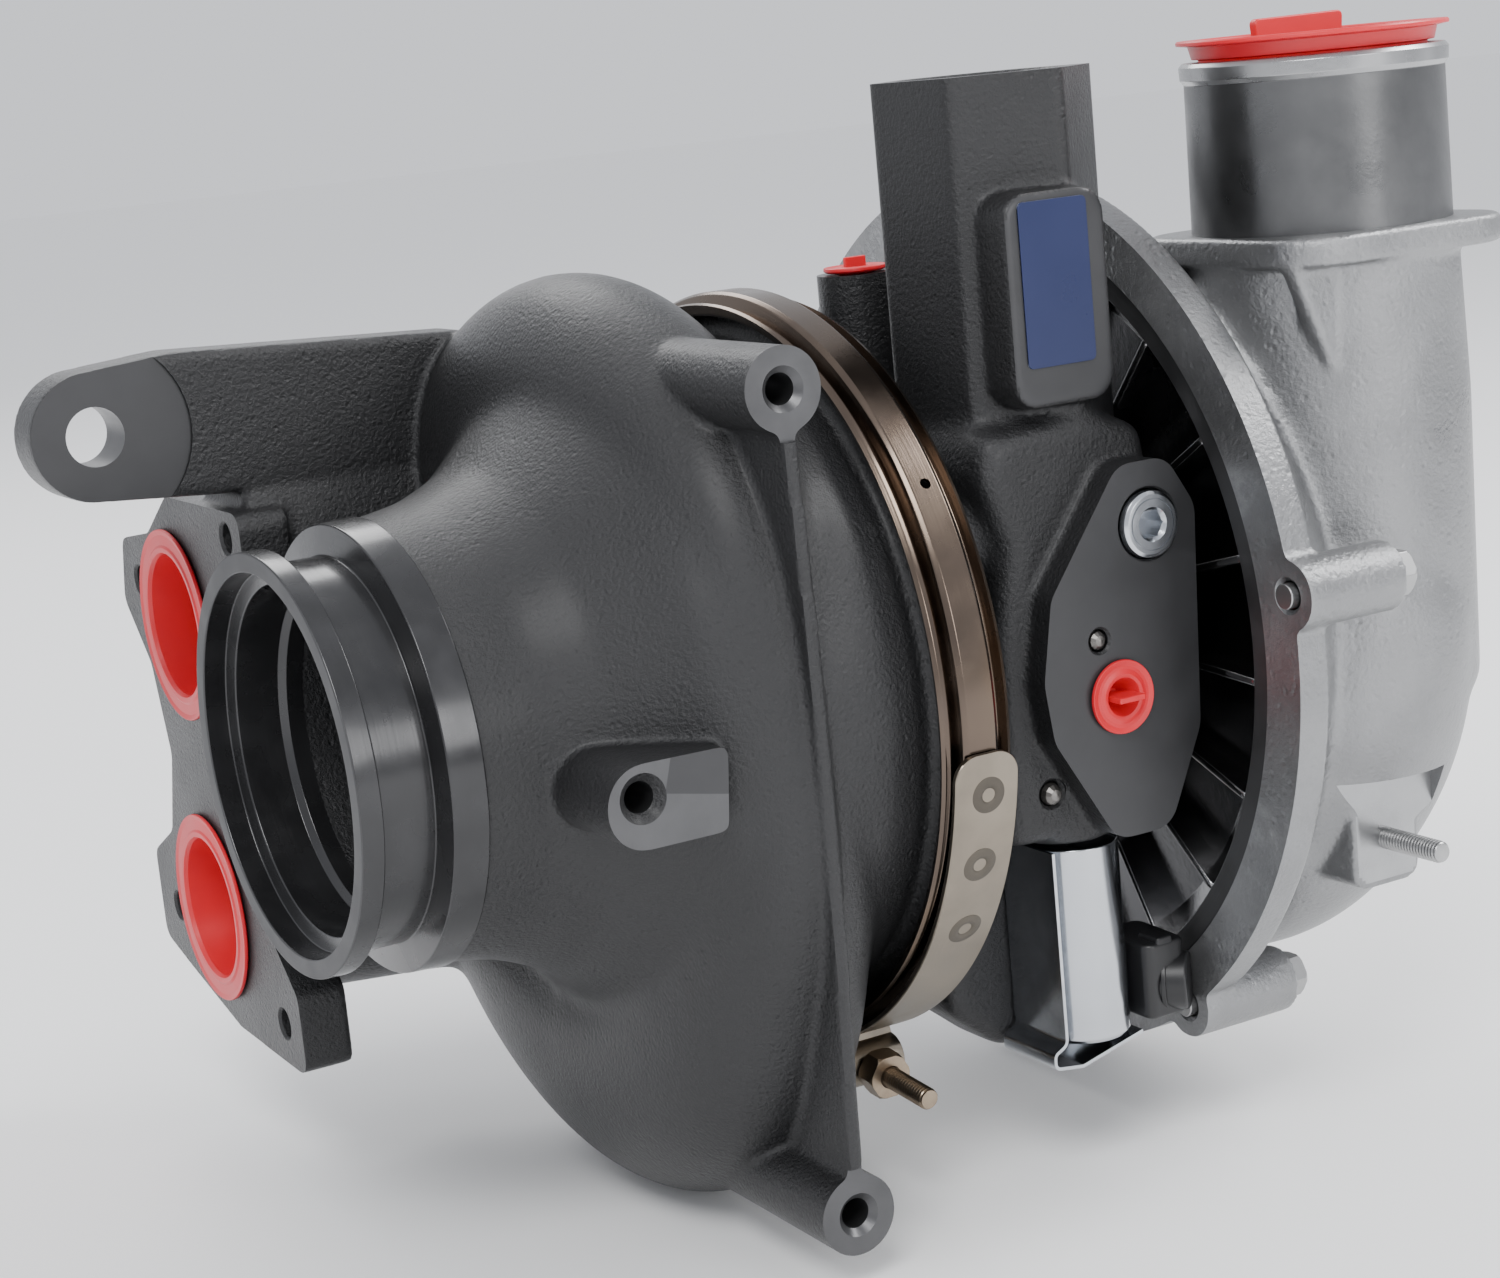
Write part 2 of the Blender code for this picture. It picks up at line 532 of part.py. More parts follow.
def compressor_cover():
    metal = "cast_aluminium"
    skin = [(71.2, 0), (71.2, COVER_R), (81, COVER_R), (83, 119), (96, 112), (118, 96), (150, 70), (165, 52),
            (188, 51), (190, 54), (INLET_END_X, 54), (INLET_END_X, 0)]
    cover = turned("compressor_cover", skin, metal, sides=26)
    join(cover, scroll("scroll", cover_reach, 58, cover_width, COMPRESSOR_X, metal))
    duct = [(-22, 0), (-22, 37), (60, 38), (108, 36.6), (DUCT_TOP_Z - 5, DUCT_R),
            (DUCT_TOP_Z - 4, DUCT_R + 1.2), (DUCT_TOP_Z, DUCT_R + 1.0), (DUCT_TOP_Z, 0)]
    x, y = DUCT_X, DUCT_Y
    join(cover, turned("duct", duct, metal, (x, y, 0), (0, 0, 1), 18))
    collar = rounded([(x - 38, y - 38), (x + 39, y - 38), (x + 39, y + 39), (x - 38, y + 39)], 16, 3)
    join(cover, prism("collar", collar, 99.5, 107.5, metal, "XY"))
    for degrees in COVER_BOLTS:
        at = on_circle(COVER_BOLT_R, degrees)
        join(cover, rod("bolt_boss", at + Vector((70.4, 0, 0)), at + Vector((103, 0, 0)), 9.5, metal, 10))
    join(cover, prism("stud_pad", rounded([(107, -74), (131, -74), (131, -47), (107, -47)], 5, 2), -104, -80,
                      metal, "XZ"))
    # Hollows: backplate seat, wheel shroud and inlet, scroll passage, outlet duct, bolt holes.
    bore = [(66, 0), (66, BACKPLATE_R + 0.4), (84.4, BACKPLATE_R + 0.4), (84.4, 62),
            (89.5, 62), (90.4, 46), (97, 39), (108, 33.5), (124, 31.6), (150, 33), (168, 44),
            (INLET_END_X + 2, 46), (INLET_END_X + 2, 0)]
    cut(cover, turned("bore", bore, metal, sides=32))
    cut(cover, scroll("air", lambda d: cover_reach(d) - 6, 60, lambda d: cover_width(d) - 6,
                      COMPRESSOR_X, metal))
    cut(cover, rod("outlet", (x, y, -14), (x, y, DUCT_TOP_Z + 2), 31.5, metal, 20))
    for degrees in COVER_BOLTS:
        at = on_circle(COVER_BOLT_R, degrees)
        cut(cover, rod("bolt_way", at + Vector((60, 0, 0)), at + Vector((110, 0, 0)), 3.9, metal, 6))
    cut(cover, rod("stud_way", (119, -110, -60.5), (119, -90, -60.5), 3.4, metal, 10))
    return cover


def compressor_wheel():
    hub = [(80.6, 4.9), (80.6, 43.5), (82.2, 43.5), (86, 30), (96, 16), (110, 11), (126, 9.5), (126, 4.9)]
    wheel = turned("compressor_wheel", hub, "cast_aluminium", sides=20)
    for k in range(12):
        blade = blade_solid("blade", 30 * k, 124, 82, 30.6, 43.3, 0.7, 40.0, "cast_aluminium", 2, 8.6)
        join(wheel, blade)
    return wheel


def hex_prism(name, centre, direction, across, length, finish):
    """A hexagonal head or nut: its flats are cut by turning a six-sided profile."""
    radius = across / math.sqrt(3)
    return turned(name, [(0, 0), (0, radius), (length, radius), (length, 0)], finish, centre, direction, 6)


def hex_bolt(name, head, direction, length, radius, across, head_high, finish):
    """Hexagon-headed bolt: head is the underside of the head, direction the way the shank runs."""
    way = Vector(direction).normalized()
    shank = rod(name, Vector(head) - way * 0.5, Vector(head) + way * length, radius, finish, 10)
    return join(shank, hex_prism("head", Vector(head) - way * head_high, way, across, head_high, finish))


def bolts():
    for k, degrees in enumerate(COVER_BOLTS):
        at = on_circle(COVER_BOLT_R, degrees)
        hex_bolt(f"cover_bolt_{k + 1}", at + Vector((103.3, 0, 0)), (-1, 0, 0), 34, 3.4, 12, 6.5, "steel")
    for k, degrees in enumerate((30, 150, 270)):
        at = on_circle(56, degrees)
        hex_bolt(f"backplate_bolt_{k + 1}", at + Vector((84.4, 0, 0)), (-1, 0, 0), 25, 3.0, 9, 4, "steel")


# ---------------------------------------------------------------- clamp


def arc_section(name, section, start, end, finish, steps):
    """A section of (x, radius) swept round the rotor's axis between two angles, ends capped."""
    points = [on_circle(r, start + (end - start) * i / steps, x) for i in range(steps + 1) for x, r in section]
    count = len(section)
    faces = [list(range(count)), list(range(steps * count + count - 1, steps * count - 1, -1))]
    for i in range(steps):
        for k in range(count):
            m = (k + 1) % count
            faces.append([i * count + k, i * count + m, (i + 1) * count + m, (i + 1) * count + k])
    return solid(name, points, faces, finish)


def bolt_frame():
    """Foot point and direction of the clamp's bolt line, towards its nut."""
    foot = on_circle(BOLT_LINE_R, BOLT_FOOT_ANGLE, BAND_MID)
    return foot, -on_circle(1, BOLT_FOOT_ANGLE + 90)


def clamp():
    half = [(4.5, BAND_R), (8.9, 99.4), (8.9, 97.2), (4.5, 102.8)]
    section = [(BAND_MID - x, r) for x, r in half] + [(BAND_MID + x, r) for x, r in half[::-1]]
    arc_section("v_band", section, -72, 258, "tinted_steel", 30)
    foot, way = bolt_frame()
    trunnion_at = foot + way * 40
    hook_at = foot - way * 2
    axle = Vector((1, 0, 0))
    for name, centre, start, end in (("clamp_strap_front", trunnion_at, -175, -103),
                                     ("clamp_strap_rear", hook_at, -89, -30)):
        low = BAND_R + 0.4
        near, far = BAND_MID - 9.8, BAND_MID + 9.8
        strap = [(near, low), (near, low + 1.5), (far, low + 1.5), (far, low)]
        ends = arc_section(name, strap, start, end, "steel", 8)
        leg = Vector((0, centre.y, centre.z)).normalized()
        tube = [(-9.8, 4.9), (-9.8, 6.4), (9.8, 6.4), (9.8, 4.9)]
        join(ends, strap_web(centre, leg, low), turned("loop", tube, "steel", centre, axle, 16))
        cut(ends, rod("pin_way", centre - axle * 12, centre + axle * 12, 4.9, "steel", 16),
            rod("bolt_way", centre - way * 16, centre + way * 16, 4.2, "steel", 10))
    pin = rod("clamp_trunnion", trunnion_at - axle * 9.5, trunnion_at + axle * 9.5, 4.5, "steel", 12)
    cut(pin, rod("bolt_way", trunnion_at - way * 9, trunnion_at + way * 9, 3.5, "steel", 10))
    bolt = rod("clamp_t_bolt", hook_at, foot + way * 73, 3.1, "tinted_steel", 10)
    join(bolt, rod("cross_pin", hook_at - axle * 9.5, hook_at + axle * 9.5, 4.5, "tinted_steel", 12))
    nut = hex_prism("clamp_nut", foot + way * 46.8, way, 12, 7, "tinted_steel")
    cut(nut, rod("thread", foot + way * 40, foot + way * 60, 3.45, "tinted_steel", 10))


def strap_web(centre, leg, low):
    """Short radial wall that carries the loop on the strap's end."""
    side = Vector((1, 0, 0)).cross(leg)
    reach = centre - leg * 5.2
    root = leg * (low + 0.2) + Vector((centre.x, 0, 0))
    axle = Vector((9.8, 0, 0))
    square = ((-2, -1), (2, -1), (2, 1), (-2, 1))
    points = [place + side * s + axle * e for place in (root, reach) for s, e in square]
    faces = [[0, 1, 2, 3], [7, 6, 5, 4]] + [[k, (k + 1) % 4, 4 + (k + 1) % 4, 4 + k] for k in range(4)]
    return solid("web", points, faces, "steel")


# ---------------------------------------------------------------- actuator and its valve


def actuator():
    x, y = PISTON
    piston = rod("actuator_piston", (x, y, -26), (x, y, 16), 8.0, "steel", 16)
    room = block("rack_room", (x - 9, y + 5.5, -20), (x + 9, y + 12, 10), "steel")
    cut(piston, room)
    inward, at = (0, 1, 0), (55, PAD_Y, 37)
    body = [(0.4, 0), (0.4, 9.2), (15, 9.2), (15, 0)]
    flange = [(-1.9, 0), (-1.9, 8.6), (-1.4, 9.2), (0.6, 9.2), (0.6, 0)]
    plug = turned("hex_socket_plug", body, "bright_steel", at, inward, 18)
    join(plug, turned("flange", flange, "bright_steel", at, inward, 18))
    cut(plug, hex_prism("socket", (55, PAD_Y - 3, 37), (0, 1, 0), 7, 9, "bright_steel"))
    turned("ball_plug_upper", ball_profile(2.8), "steel", (36.6, PAD_Y + 2.2, 8.6), (0, 1, 0), 12)
    turned("ball_plug_lower", ball_profile(3.1), "steel", (24, -80.3, -32), (0, 1, 0), 12)


def ball_profile(radius, steps=6):
    return [(-radius * math.cos(math.pi * k / steps), radius * math.sin(math.pi * k / steps)) if 0 < k < steps
            else (-radius * math.cos(math.pi * k / steps), 0) for k in range(steps + 1)]


def control_valve():
    """Solenoid can, its connector, moving spool and the sheet bracket that holds it."""
    x, y = PISTON[0] - 4, -66.0
    can = [(-50, 0), (-50, 10), (-51.5, 12.4), (-104.5, 12.4), (-106, 11.6), (-106, 0)]
    valve = turned("solenoid_can", [(z, r) for z, r in can], "bright_steel", (x, y, 0), (0, 0, 1), 16)
    cut(valve, rod("spool_bore", (x, y, -49), (x, y, -84), 4.4, "bright_steel", 12))
    rod("solenoid_spool", (x, y, -80), (x, y, -51), 4.0, "steel", 12)
    block("solenoid_connector", (x + 12.8, y - 13, -104), (x + 28, y + 10, -80), "black_plastic")
    wall = [(-3, -51), (-3, -112), (26, -112), (26, -110.2), (-1.2, -110.2), (-1.2, -51)]
    points = [(x - 13.6 + a, z) for a, z in wall]
    prism("solenoid_bracket", points, y - 9, y + 15.4, "steel", "XZ")


# ---------------------------------------------------------------- small fittings and caps


def fittings():
    rod("mounting_stud", (119, -126, -60.5), (119, -90.5, -60.5), 3.1, "steel", 10, 0.6)
    label = rounded([(24.4, 81.5), (46, 81.5), (46, 124.5), (24.4, 124.5)], 1.5, 2)
    prism("label_plate", label, -84.9, -84.3, "blue_label", "XZ")
    turned("backplate_seal", [(77.3, 113.1), (77.3, 115.2), (79.1, 115.2), (79.1, 113.1)], "rubber", sides=32)
    hex_nut = hex_prism("compressor_nut", (126.4, 0, 0), (1, 0, 0), 11, 6, "steel")
    cut(hex_nut, rod("thread", (120, 0, 0), (140, 0, 0), 4.9, "steel", 12))
    turned("seal_ring_compressor", [(70, 9.9), (70, 12.1), (72, 12.1), (72, 9.9)], "steel", sides=24)


def cup_cap(name, centre, direction, lip, plug, depth, finish="red_plastic", wall=1.2, sides=16):
    """A soft push-in cap: a flat lip outside and an open cup inside the port."""
    profile = [(0, lip), (1.4, lip), (1.4, plug), (depth, plug - 1.2), (depth, 0), (depth - wall, 0),
               (depth - wall, plug - wall - 1.2), (0, plug - wall)]
    return turned(name, profile, finish, centre, direction, sides)


def caps():
    for name, (y, z) in zip(("turbine_inlet_cap_upper", "turbine_inlet_cap_lower"), PORTS):
        cup_cap(name, (FLANGE_X - 1.8, y, z), (1, 0, 0), 29, 22.6, 22)
    x, top = DUCT_X, DUCT_TOP_Z + 6
    cup = [(0, 36.6), (1.4, 36.6), (1.4, 33.0), (5.4, 32.4), (5.4, 30.8), (24, 29.8), (24, 0), (22.8, 0),
           (22.8, 28.4), (0, 31.4)]
    cap = turned("compressor_outlet_cap", cup, "red_plastic", (x, DUCT_Y, top), (0, 0, -1), 18)
    grip = [(x - 17, top - 23.4), (x + 8, top - 23.4), (x + 10.5, top + 4.8), (x - 20.5, top + 4.4)]
    join(cap, prism("grip", grip, DUCT_Y - 1.5, DUCT_Y + 1.5, "red_plastic", "XZ"))
    cup_cap("oil_inlet_cap", (27, 0, 107.0), (0, 0, -1), 9, 4.5, 10, sides=14)
    cup_cap("sensor_port_cap", (42, PAD_Y - 1.8, -7.3), (0, 1, 0), 10, 5.9, 7, sides=16)


def build():
    clear_scene()
    turbine_housing()
    turbine_wheel()
    nozzle_ring()
    unison_ring()
    for number in range(VANES):
        vane(number)
    crank_shaft()
    heat_shield()
    centre_housing()
    rotor_bearings()
    backplate()
    compressor_cover()
    compressor_wheel()
    bolts()
    clamp()
    actuator()
    control_valve()
    fittings()
    caps()


build()
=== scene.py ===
"""Detailed look of a variable-geometry turbocharger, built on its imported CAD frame.

X runs along the rotor from the exhaust outlet to the compressor and Z is up. Shapes are
written in millimetres and turned into metres where each mesh is made.
"""
import math

import bmesh
import bpy
import numpy as np
from bpy.props import FloatProperty, FloatVectorProperty, IntProperty, PointerProperty
from bpy.types import Operator, Panel, PropertyGroup
from mathutils import Matrix, Vector


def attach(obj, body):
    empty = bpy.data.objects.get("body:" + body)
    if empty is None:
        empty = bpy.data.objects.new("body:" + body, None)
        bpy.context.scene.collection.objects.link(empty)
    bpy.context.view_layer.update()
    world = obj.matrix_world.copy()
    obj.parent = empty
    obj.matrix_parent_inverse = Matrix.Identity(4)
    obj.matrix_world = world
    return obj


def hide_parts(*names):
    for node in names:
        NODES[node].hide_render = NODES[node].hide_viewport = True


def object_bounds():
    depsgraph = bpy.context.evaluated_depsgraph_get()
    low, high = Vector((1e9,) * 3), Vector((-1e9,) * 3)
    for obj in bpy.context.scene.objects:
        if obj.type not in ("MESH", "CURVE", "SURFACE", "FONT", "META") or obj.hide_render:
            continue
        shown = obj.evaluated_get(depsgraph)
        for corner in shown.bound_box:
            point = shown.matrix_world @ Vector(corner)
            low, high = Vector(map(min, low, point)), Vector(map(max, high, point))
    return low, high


bl_info = {
    "name": "Turbocharger Builder",
    "version": (1, 0, 0),
    "blender": (4, 5, 0),
    "location": "3D View > Sidebar > Turbocharger",
    "description": "Builds the castings, clamp, valve, caps and finishes of a turbocharger",
    "category": "Add Mesh",
}

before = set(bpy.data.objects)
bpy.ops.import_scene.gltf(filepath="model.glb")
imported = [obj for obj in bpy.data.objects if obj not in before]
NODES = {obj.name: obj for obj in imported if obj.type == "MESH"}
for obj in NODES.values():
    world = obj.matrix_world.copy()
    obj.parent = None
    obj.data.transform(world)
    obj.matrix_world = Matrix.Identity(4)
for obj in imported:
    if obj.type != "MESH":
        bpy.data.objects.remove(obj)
CAD_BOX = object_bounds()
MM = 0.001

# Places on the frame, mm.
OUTLET_X = -161.0                           # face of the exhaust outlet
SCROLL_X = -54.0                            # mid-plane of the turbine scroll
JOINT_X = -12.5                             # where turbine housing and centre housing meet
FLANGE_X = -140.0                           # face of the twin exhaust inlet flange
PORTS = ((128.0, 18.0), (130.0, -70.0))     # y, z of its two ports
FLANGE_HOLES = ((76.0, 49.0), (160.0, 28.0), (165.0, -77.0), (80.0, -95.0))
LUG = (-174.0, 83.0)                        # x, z of the lifting eye
BOSS_Z = (88.0, -125.0)                     # heights of the two tapped bosses
BOSS_Y = -93.0                              # their spot-faced ends
TOWER = (40.0, -50.0)                       # x, y of the hexagonal drain tower
TOWER_TOP = 157.0
TOWER_SIDE = 30.4
TOWER_TURN = -21.5                          # degrees that one flat is turned from facing -Y
PAD_Y = -90.0                               # face of the actuator block
PLUG_AT = (55, PAD_Y, 37)                   # hex-socket plug on that face
CRANK = (-59.9, -6.0)                       # y, z of the crank shaft's axis
DUCT = (130.0, -78.0)                       # x, y of the compressor outlet duct
DUCT_TOP = 154.0
COVER_BOLTS = (171.5, 235.5, 292.0, 340.0, 28.0, 76.0)   # degrees, from +Y towards +Z
COVER_BOLT_R = 127.0
BAND_MID = -12.5                            # middle of the clamp band
BAND_R = 105.0
SPARE = 5.0                                 # metal left on a cast face for its machining cut


# ---------------------------------------------------------------- settings


class TURBO_PG_sizes(PropertyGroup):
    """Sizes of the details that the CAD frame leaves plain."""

    grain: FloatProperty(name="Casting grain", description="Width of the castings' skin grain",
                         default=0.0011, min=0.0003, max=0.01, unit="LENGTH")
    voxel: FloatProperty(name="Casting fineness",
                         description="Edge of the small squares that the castings are made of",
                         default=0.0011, min=0.0006, max=0.004, unit="LENGTH")
    bead: FloatProperty(name="Band lip", description="Thickness of the clamp band's rolled lips",
                        default=0.0011, min=0.0004, max=0.003, unit="LENGTH")
    ribs: IntProperty(name="Backplate ribs", description="Radial ribs on the backplate", default=20, min=6,
                      max=40)
    pitch: FloatProperty(name="Thread pitch", description="Pitch of the stud and clamp bolt threads",
                         default=0.00115, min=0.0005, max=0.003, unit="LENGTH")


class TURBO_PG_finishes(PropertyGroup):
    """Base colours of the finishes."""

    iron: FloatVectorProperty(name="Coated iron", description="Charcoal coating of the iron castings",
                              default=(0.019, 0.019, 0.020), subtype="COLOR", min=0, max=1)
    machined: FloatVectorProperty(name="Machined iron", description="Bare cut faces of the iron castings",
                                  default=(0.10, 0.10, 0.103), subtype="COLOR", min=0, max=1)
    aluminium: FloatVectorProperty(name="Cast aluminium",
                                   description="Tumbled skin of the compressor cover",
                                   default=(0.27, 0.272, 0.276), subtype="COLOR", min=0, max=1)
    stainless: FloatVectorProperty(name="Tinted stainless",
                                   description="Straw and brown heat tint of the clamp band",
                                   default=(0.12, 0.092, 0.072), subtype="COLOR", min=0, max=1)
    strap: FloatVectorProperty(name="Strap steel", description="Satin steel of the clamp's straps",
                               default=(0.27, 0.235, 0.19), subtype="COLOR", min=0, max=1)
    zinc: FloatVectorProperty(name="Zinc plate", description="Bright plating of the valve can and plugs",
                              default=(0.55, 0.57, 0.60), subtype="COLOR", min=0, max=1)
    cap: FloatVectorProperty(name="Cap plastic", description="Soft red plastic of the shipping caps",
                             default=(0.62, 0.012, 0.022), subtype="COLOR", min=0, max=1)
    label: FloatVectorProperty(name="Label", description="Printed ground of the label",
                               default=(0.005, 0.012, 0.065), subtype="COLOR", min=0, max=1)


class TURBO_PG_stage(PropertyGroup):
    """Floor, lights and camera."""

    azimuth: FloatProperty(name="Azimuth", description="Camera's turn round the object",
                           default=math.radians(-29.05),
                           subtype="ANGLE")
    elevation: FloatProperty(name="Elevation", description="Camera's height angle",
                             default=math.radians(11.37),
                             subtype="ANGLE")
    roll: FloatProperty(name="Roll", description="Camera's tilt about its own line of sight",
                        default=math.radians(-5.48), subtype="ANGLE")
    distance: FloatProperty(name="Distance", description="Camera to the point it looks at", default=0.8243,
                            unit="LENGTH")
    target: FloatVectorProperty(name="Target", description="Point that the camera looks at",
                                default=(-0.0132, 0.00865, 0.00565), subtype="TRANSLATION")
    lens: FloatProperty(name="Lens", description="Focal length in millimetres", default=69.68, min=10,
                        max=300)
    floor: FloatVectorProperty(name="Floor", description="Colour of the floor", default=(0.96, 0.96, 0.96),
                               subtype="COLOR", min=0, max=1)
    light: FloatProperty(name="Light", description="Strength of the soft lights", default=1.0, min=0,
                         max=10)


# ---------------------------------------------------------------- shader groups


def group(name, inputs, outputs):
    """A shader node group with float, colour or vector sockets, and its two end nodes."""
    made = bpy.data.node_groups.new(name, "ShaderNodeTree")
    kinds = {"F": "NodeSocketFloat", "C": "NodeSocketColor", "V": "NodeSocketVector"}
    for label, kind, value in inputs:
        socket = made.interface.new_socket(label, in_out="INPUT", socket_type=kinds[kind])
        socket.default_value = value
    for label, kind in outputs:
        made.interface.new_socket(label, in_out="OUTPUT", socket_type=kinds[kind])
    return made, made.nodes.new("NodeGroupInput"), made.nodes.new("NodeGroupOutput")


def add(tree, kind, x=0, y=0, **settings):
    """A node at a place, with its settings; a name that is a socket is set on the socket."""
    node = tree.nodes.new(kind)
    node.location = (x, y)
    for key, value in settings.items():
        socket = key.replace("_", " ")
        if hasattr(node, key):
            setattr(node, key, value)
        else:
            node.inputs[socket].default_value = value
    return node


def ramp(tree, stops, x=0, y=0):
    node = add(tree, "ShaderNodeValToRGB", x, y)
    elements = node.color_ramp.elements
    while len(elements) < len(stops):
        elements.new(0.5)
    for element, (place, value) in zip(elements, stops):
        element.position = place
        element.color = value if isinstance(value, tuple) else (value, value, value, 1)
    return node


def make_cast_skin():
    """Sand-cast skin: fine grain and soft pits as height, and a mask of slow stains."""
    tree, start, end = group("cast_skin", [("Scale", "F", 900.0), ("Pits", "F", 0.5)],
                             [("Height", "F"), ("Stain", "F"), ("Grain", "F")])
    place = add(tree, "ShaderNodeTexCoord", -900, 0)
    grain = add(tree, "ShaderNodeTexNoise", -600, 200, Detail=5.0, Roughness=0.62)
    pits = add(tree, "ShaderNodeTexVoronoi", -600, -60, Randomness=1.0)
    size = add(tree, "ShaderNodeMath", -760, -120, operation="MULTIPLY")
    size.inputs[1].default_value = 0.42
    dents = ramp(tree, [(0.0, 0.0), (0.34, 1.0)], -420, -60)
    stains = add(tree, "ShaderNodeTexNoise", -600, -380, Scale=22.0, Detail=6.0, Roughness=0.6)
    mix = add(tree, "ShaderNodeMath", -120, 60, operation="MULTIPLY_ADD")
    link = tree.links.new
    link(place.outputs["Object"], grain.inputs["Vector"])
    link(place.outputs["Object"], pits.inputs["Vector"])
    link(place.outputs["Object"], stains.inputs["Vector"])
    link(start.outputs["Scale"], grain.inputs["Scale"])
    link(start.outputs["Scale"], size.inputs[0])
    link(size.outputs[0], pits.inputs["Scale"])
    link(pits.outputs["Distance"], dents.inputs["Fac"])
    link(dents.outputs["Color"], mix.inputs[0])
    link(start.outputs["Pits"], mix.inputs[1])
    link(grain.outputs["Fac"], mix.inputs[2])
    link(mix.outputs[0], end.inputs["Height"])
    link(stains.outputs["Fac"], end.inputs["Stain"])
    link(grain.outputs["Fac"], end.inputs["Grain"])
    return tree


def make_edge_wear_and_highlight():
    """Where a surface is sharp and proud, broken up by noise; it marks edge wear, and painted highlight on
    the backplate's ribs and the cover's edges.
    """
    tree, start, end = group("edge_wear_and_highlight", [("Amount", "F", 0.5), ("Scale", "F", 160.0)], [("Mask", "F")])
    shape = add(tree, "ShaderNodeNewGeometry", -700, 100)
    place = add(tree, "ShaderNodeTexCoord", -900, -200)
    edges = ramp(tree, [(0.52, 0.0), (0.62, 1.0)], -480, 100)
    noise = add(tree, "ShaderNodeTexNoise", -700, -200, Detail=4.0, Roughness=0.7)
    broken = ramp(tree, [(0.38, 0.0), (0.62, 1.0)], -480, -200)
    both = add(tree, "ShaderNodeMath", -180, 0, operation="MULTIPLY")
    scaled = add(tree, "ShaderNodeMath", -20, 0, operation="MULTIPLY", use_clamp=True)
    link = tree.links.new
    link(shape.outputs["Pointiness"], edges.inputs["Fac"])
    link(place.outputs["Object"], noise.inputs["Vector"])
    link(start.outputs["Scale"], noise.inputs["Scale"])
    link(noise.outputs["Fac"], broken.inputs["Fac"])
    link(edges.outputs["Color"], both.inputs[0])
    link(broken.outputs["Color"], both.inputs[1])
    link(both.outputs[0], scaled.inputs[0])
    link(start.outputs["Amount"], scaled.inputs[1])
    link(scaled.outputs[0], end.inputs["Mask"])
    return tree


def make_tool_marks():
    """Fine lines left by a lathe or a mill, running round one axis, and smears across them."""
    tree, start, end = group("tool_marks", [("Axis", "V", (1.0, 0.0, 0.0)), ("Lines", "F", 1500.0)],
                             [("Height", "F"), ("Smear", "F")])
    place = add(tree, "ShaderNodeTexCoord", -1000, 0)
    along = add(tree, "ShaderNodeVectorMath", -800, 120, operation="DOT_PRODUCT")
    length = add(tree, "ShaderNodeVectorMath", -800, -80, operation="CROSS_PRODUCT")
    radius = add(tree, "ShaderNodeVectorMath", -640, -80, operation="LENGTH")
    pair = add(tree, "ShaderNodeCombineXYZ", -460, 0)
    lines = add(tree, "ShaderNodeTexNoise", -280, 0, Detail=2.0, Roughness=0.5)
    smear = add(tree, "ShaderNodeTexNoise", -280, -260, Scale=70.0, Detail=5.0)
    link = tree.links.new
    link(place.outputs["Object"], along.inputs[0])
    link(start.outputs["Axis"], along.inputs[1])
    link(place.outputs["Object"], length.inputs[0])
    link(start.outputs["Axis"], length.inputs[1])
    link(length.outputs["Vector"], radius.inputs[0])
    link(along.outputs["Value"], pair.inputs["X"])
    link(radius.outputs["Value"], pair.inputs["Y"])
    link(pair.outputs["Vector"], lines.inputs["Vector"])
    link(start.outputs["Lines"], lines.inputs["Scale"])
    link(place.outputs["Object"], smear.inputs["Vector"])
    link(lines.outputs["Fac"], end.inputs["Height"])
    link(smear.outputs["Fac"], end.inputs["Smear"])
    return tree


def shared(name):
    makers = {"cast_skin": make_cast_skin, "edge_wear_and_highlight": make_edge_wear_and_highlight, "tool_marks": make_tool_marks}
    return bpy.data.node_groups.get(name) or makers[name]()


class Finish:
    """One material under construction: its Principled shader and short ways to feed it."""

    def __init__(self, name, metallic=0.0, roughness=0.5, colour=(0.5, 0.5, 0.5), **constants):
        self.material = bpy.data.materials.new(name)
        self.material.use_nodes = True
        self.tree = self.material.node_tree
        self.shader = self.tree.nodes["Principled BSDF"]
        self.shader.inputs["Metallic"].default_value = metallic
        self.shader.inputs["Roughness"].default_value = roughness
        self.shader.inputs["Base Color"].default_value = (*colour, 1)
        for key, value in constants.items():
            self.shader.inputs[key.replace("_", " ")].default_value = value

    def use(self, name, x=-900, y=0, **values):
        node = add(self.tree, "ShaderNodeGroup", x, y)
        node.node_tree = shared(name)
        for key, value in values.items():
            node.inputs[key].default_value = value
        return node

    def link(self, output, target):
        socket = self.shader.inputs[target] if isinstance(target, str) else target
        self.tree.links.new(output, socket)

    def spread(self, source, low, high, target, x=-300, y=0, span=(0.3, 0.7)):
        """Maps a mask onto a range of values and feeds it to a socket of the shader."""
        node = add(self.tree, "ShaderNodeMapRange", x, y)
        for label, value in zip(("From Min", "From Max", "To Min", "To Max"), (*span, low, high)):
            node.inputs[label].default_value = value
        self.link(source, node.inputs["Value"])
        self.link(node.outputs["Result"], target)
        return node

    def blend(self, mask, first, second, x=-300, y=200, mode="MIX"):
        """Mixes two colours (or a colour and an output) by a mask and returns the result."""
        node = add(self.tree, "ShaderNodeMix", x, y, data_type="RGBA", blend_type=mode)
        self.link(mask, node.inputs[0])
        for socket, value in ((node.inputs[6], first), (node.inputs[7], second)):
            if isinstance(value, (tuple, list)):
                socket.default_value = (*value[:3], 1)
            else:
                self.link(value, socket)
        return node.outputs[2]

    def bump(self, heights, distance=0.0004, x=-300):
        """Chains bumps of (output, strength) into the shader's normal."""
        normal = None
        for k, (height, strength) in enumerate(heights):
            node = add(self.tree, "ShaderNodeBump", x + 160 * k, -400)
            node.inputs["Strength"].default_value = strength
            node.inputs["Distance"].default_value = distance
            self.link(height, node.inputs["Height"])
            if normal:
                self.link(normal, node.inputs["Normal"])
            normal = node.outputs["Normal"]
        self.link(normal, "Normal")


def shade(colour, factor):
    return tuple(min(1.0, c * factor) for c in colour)


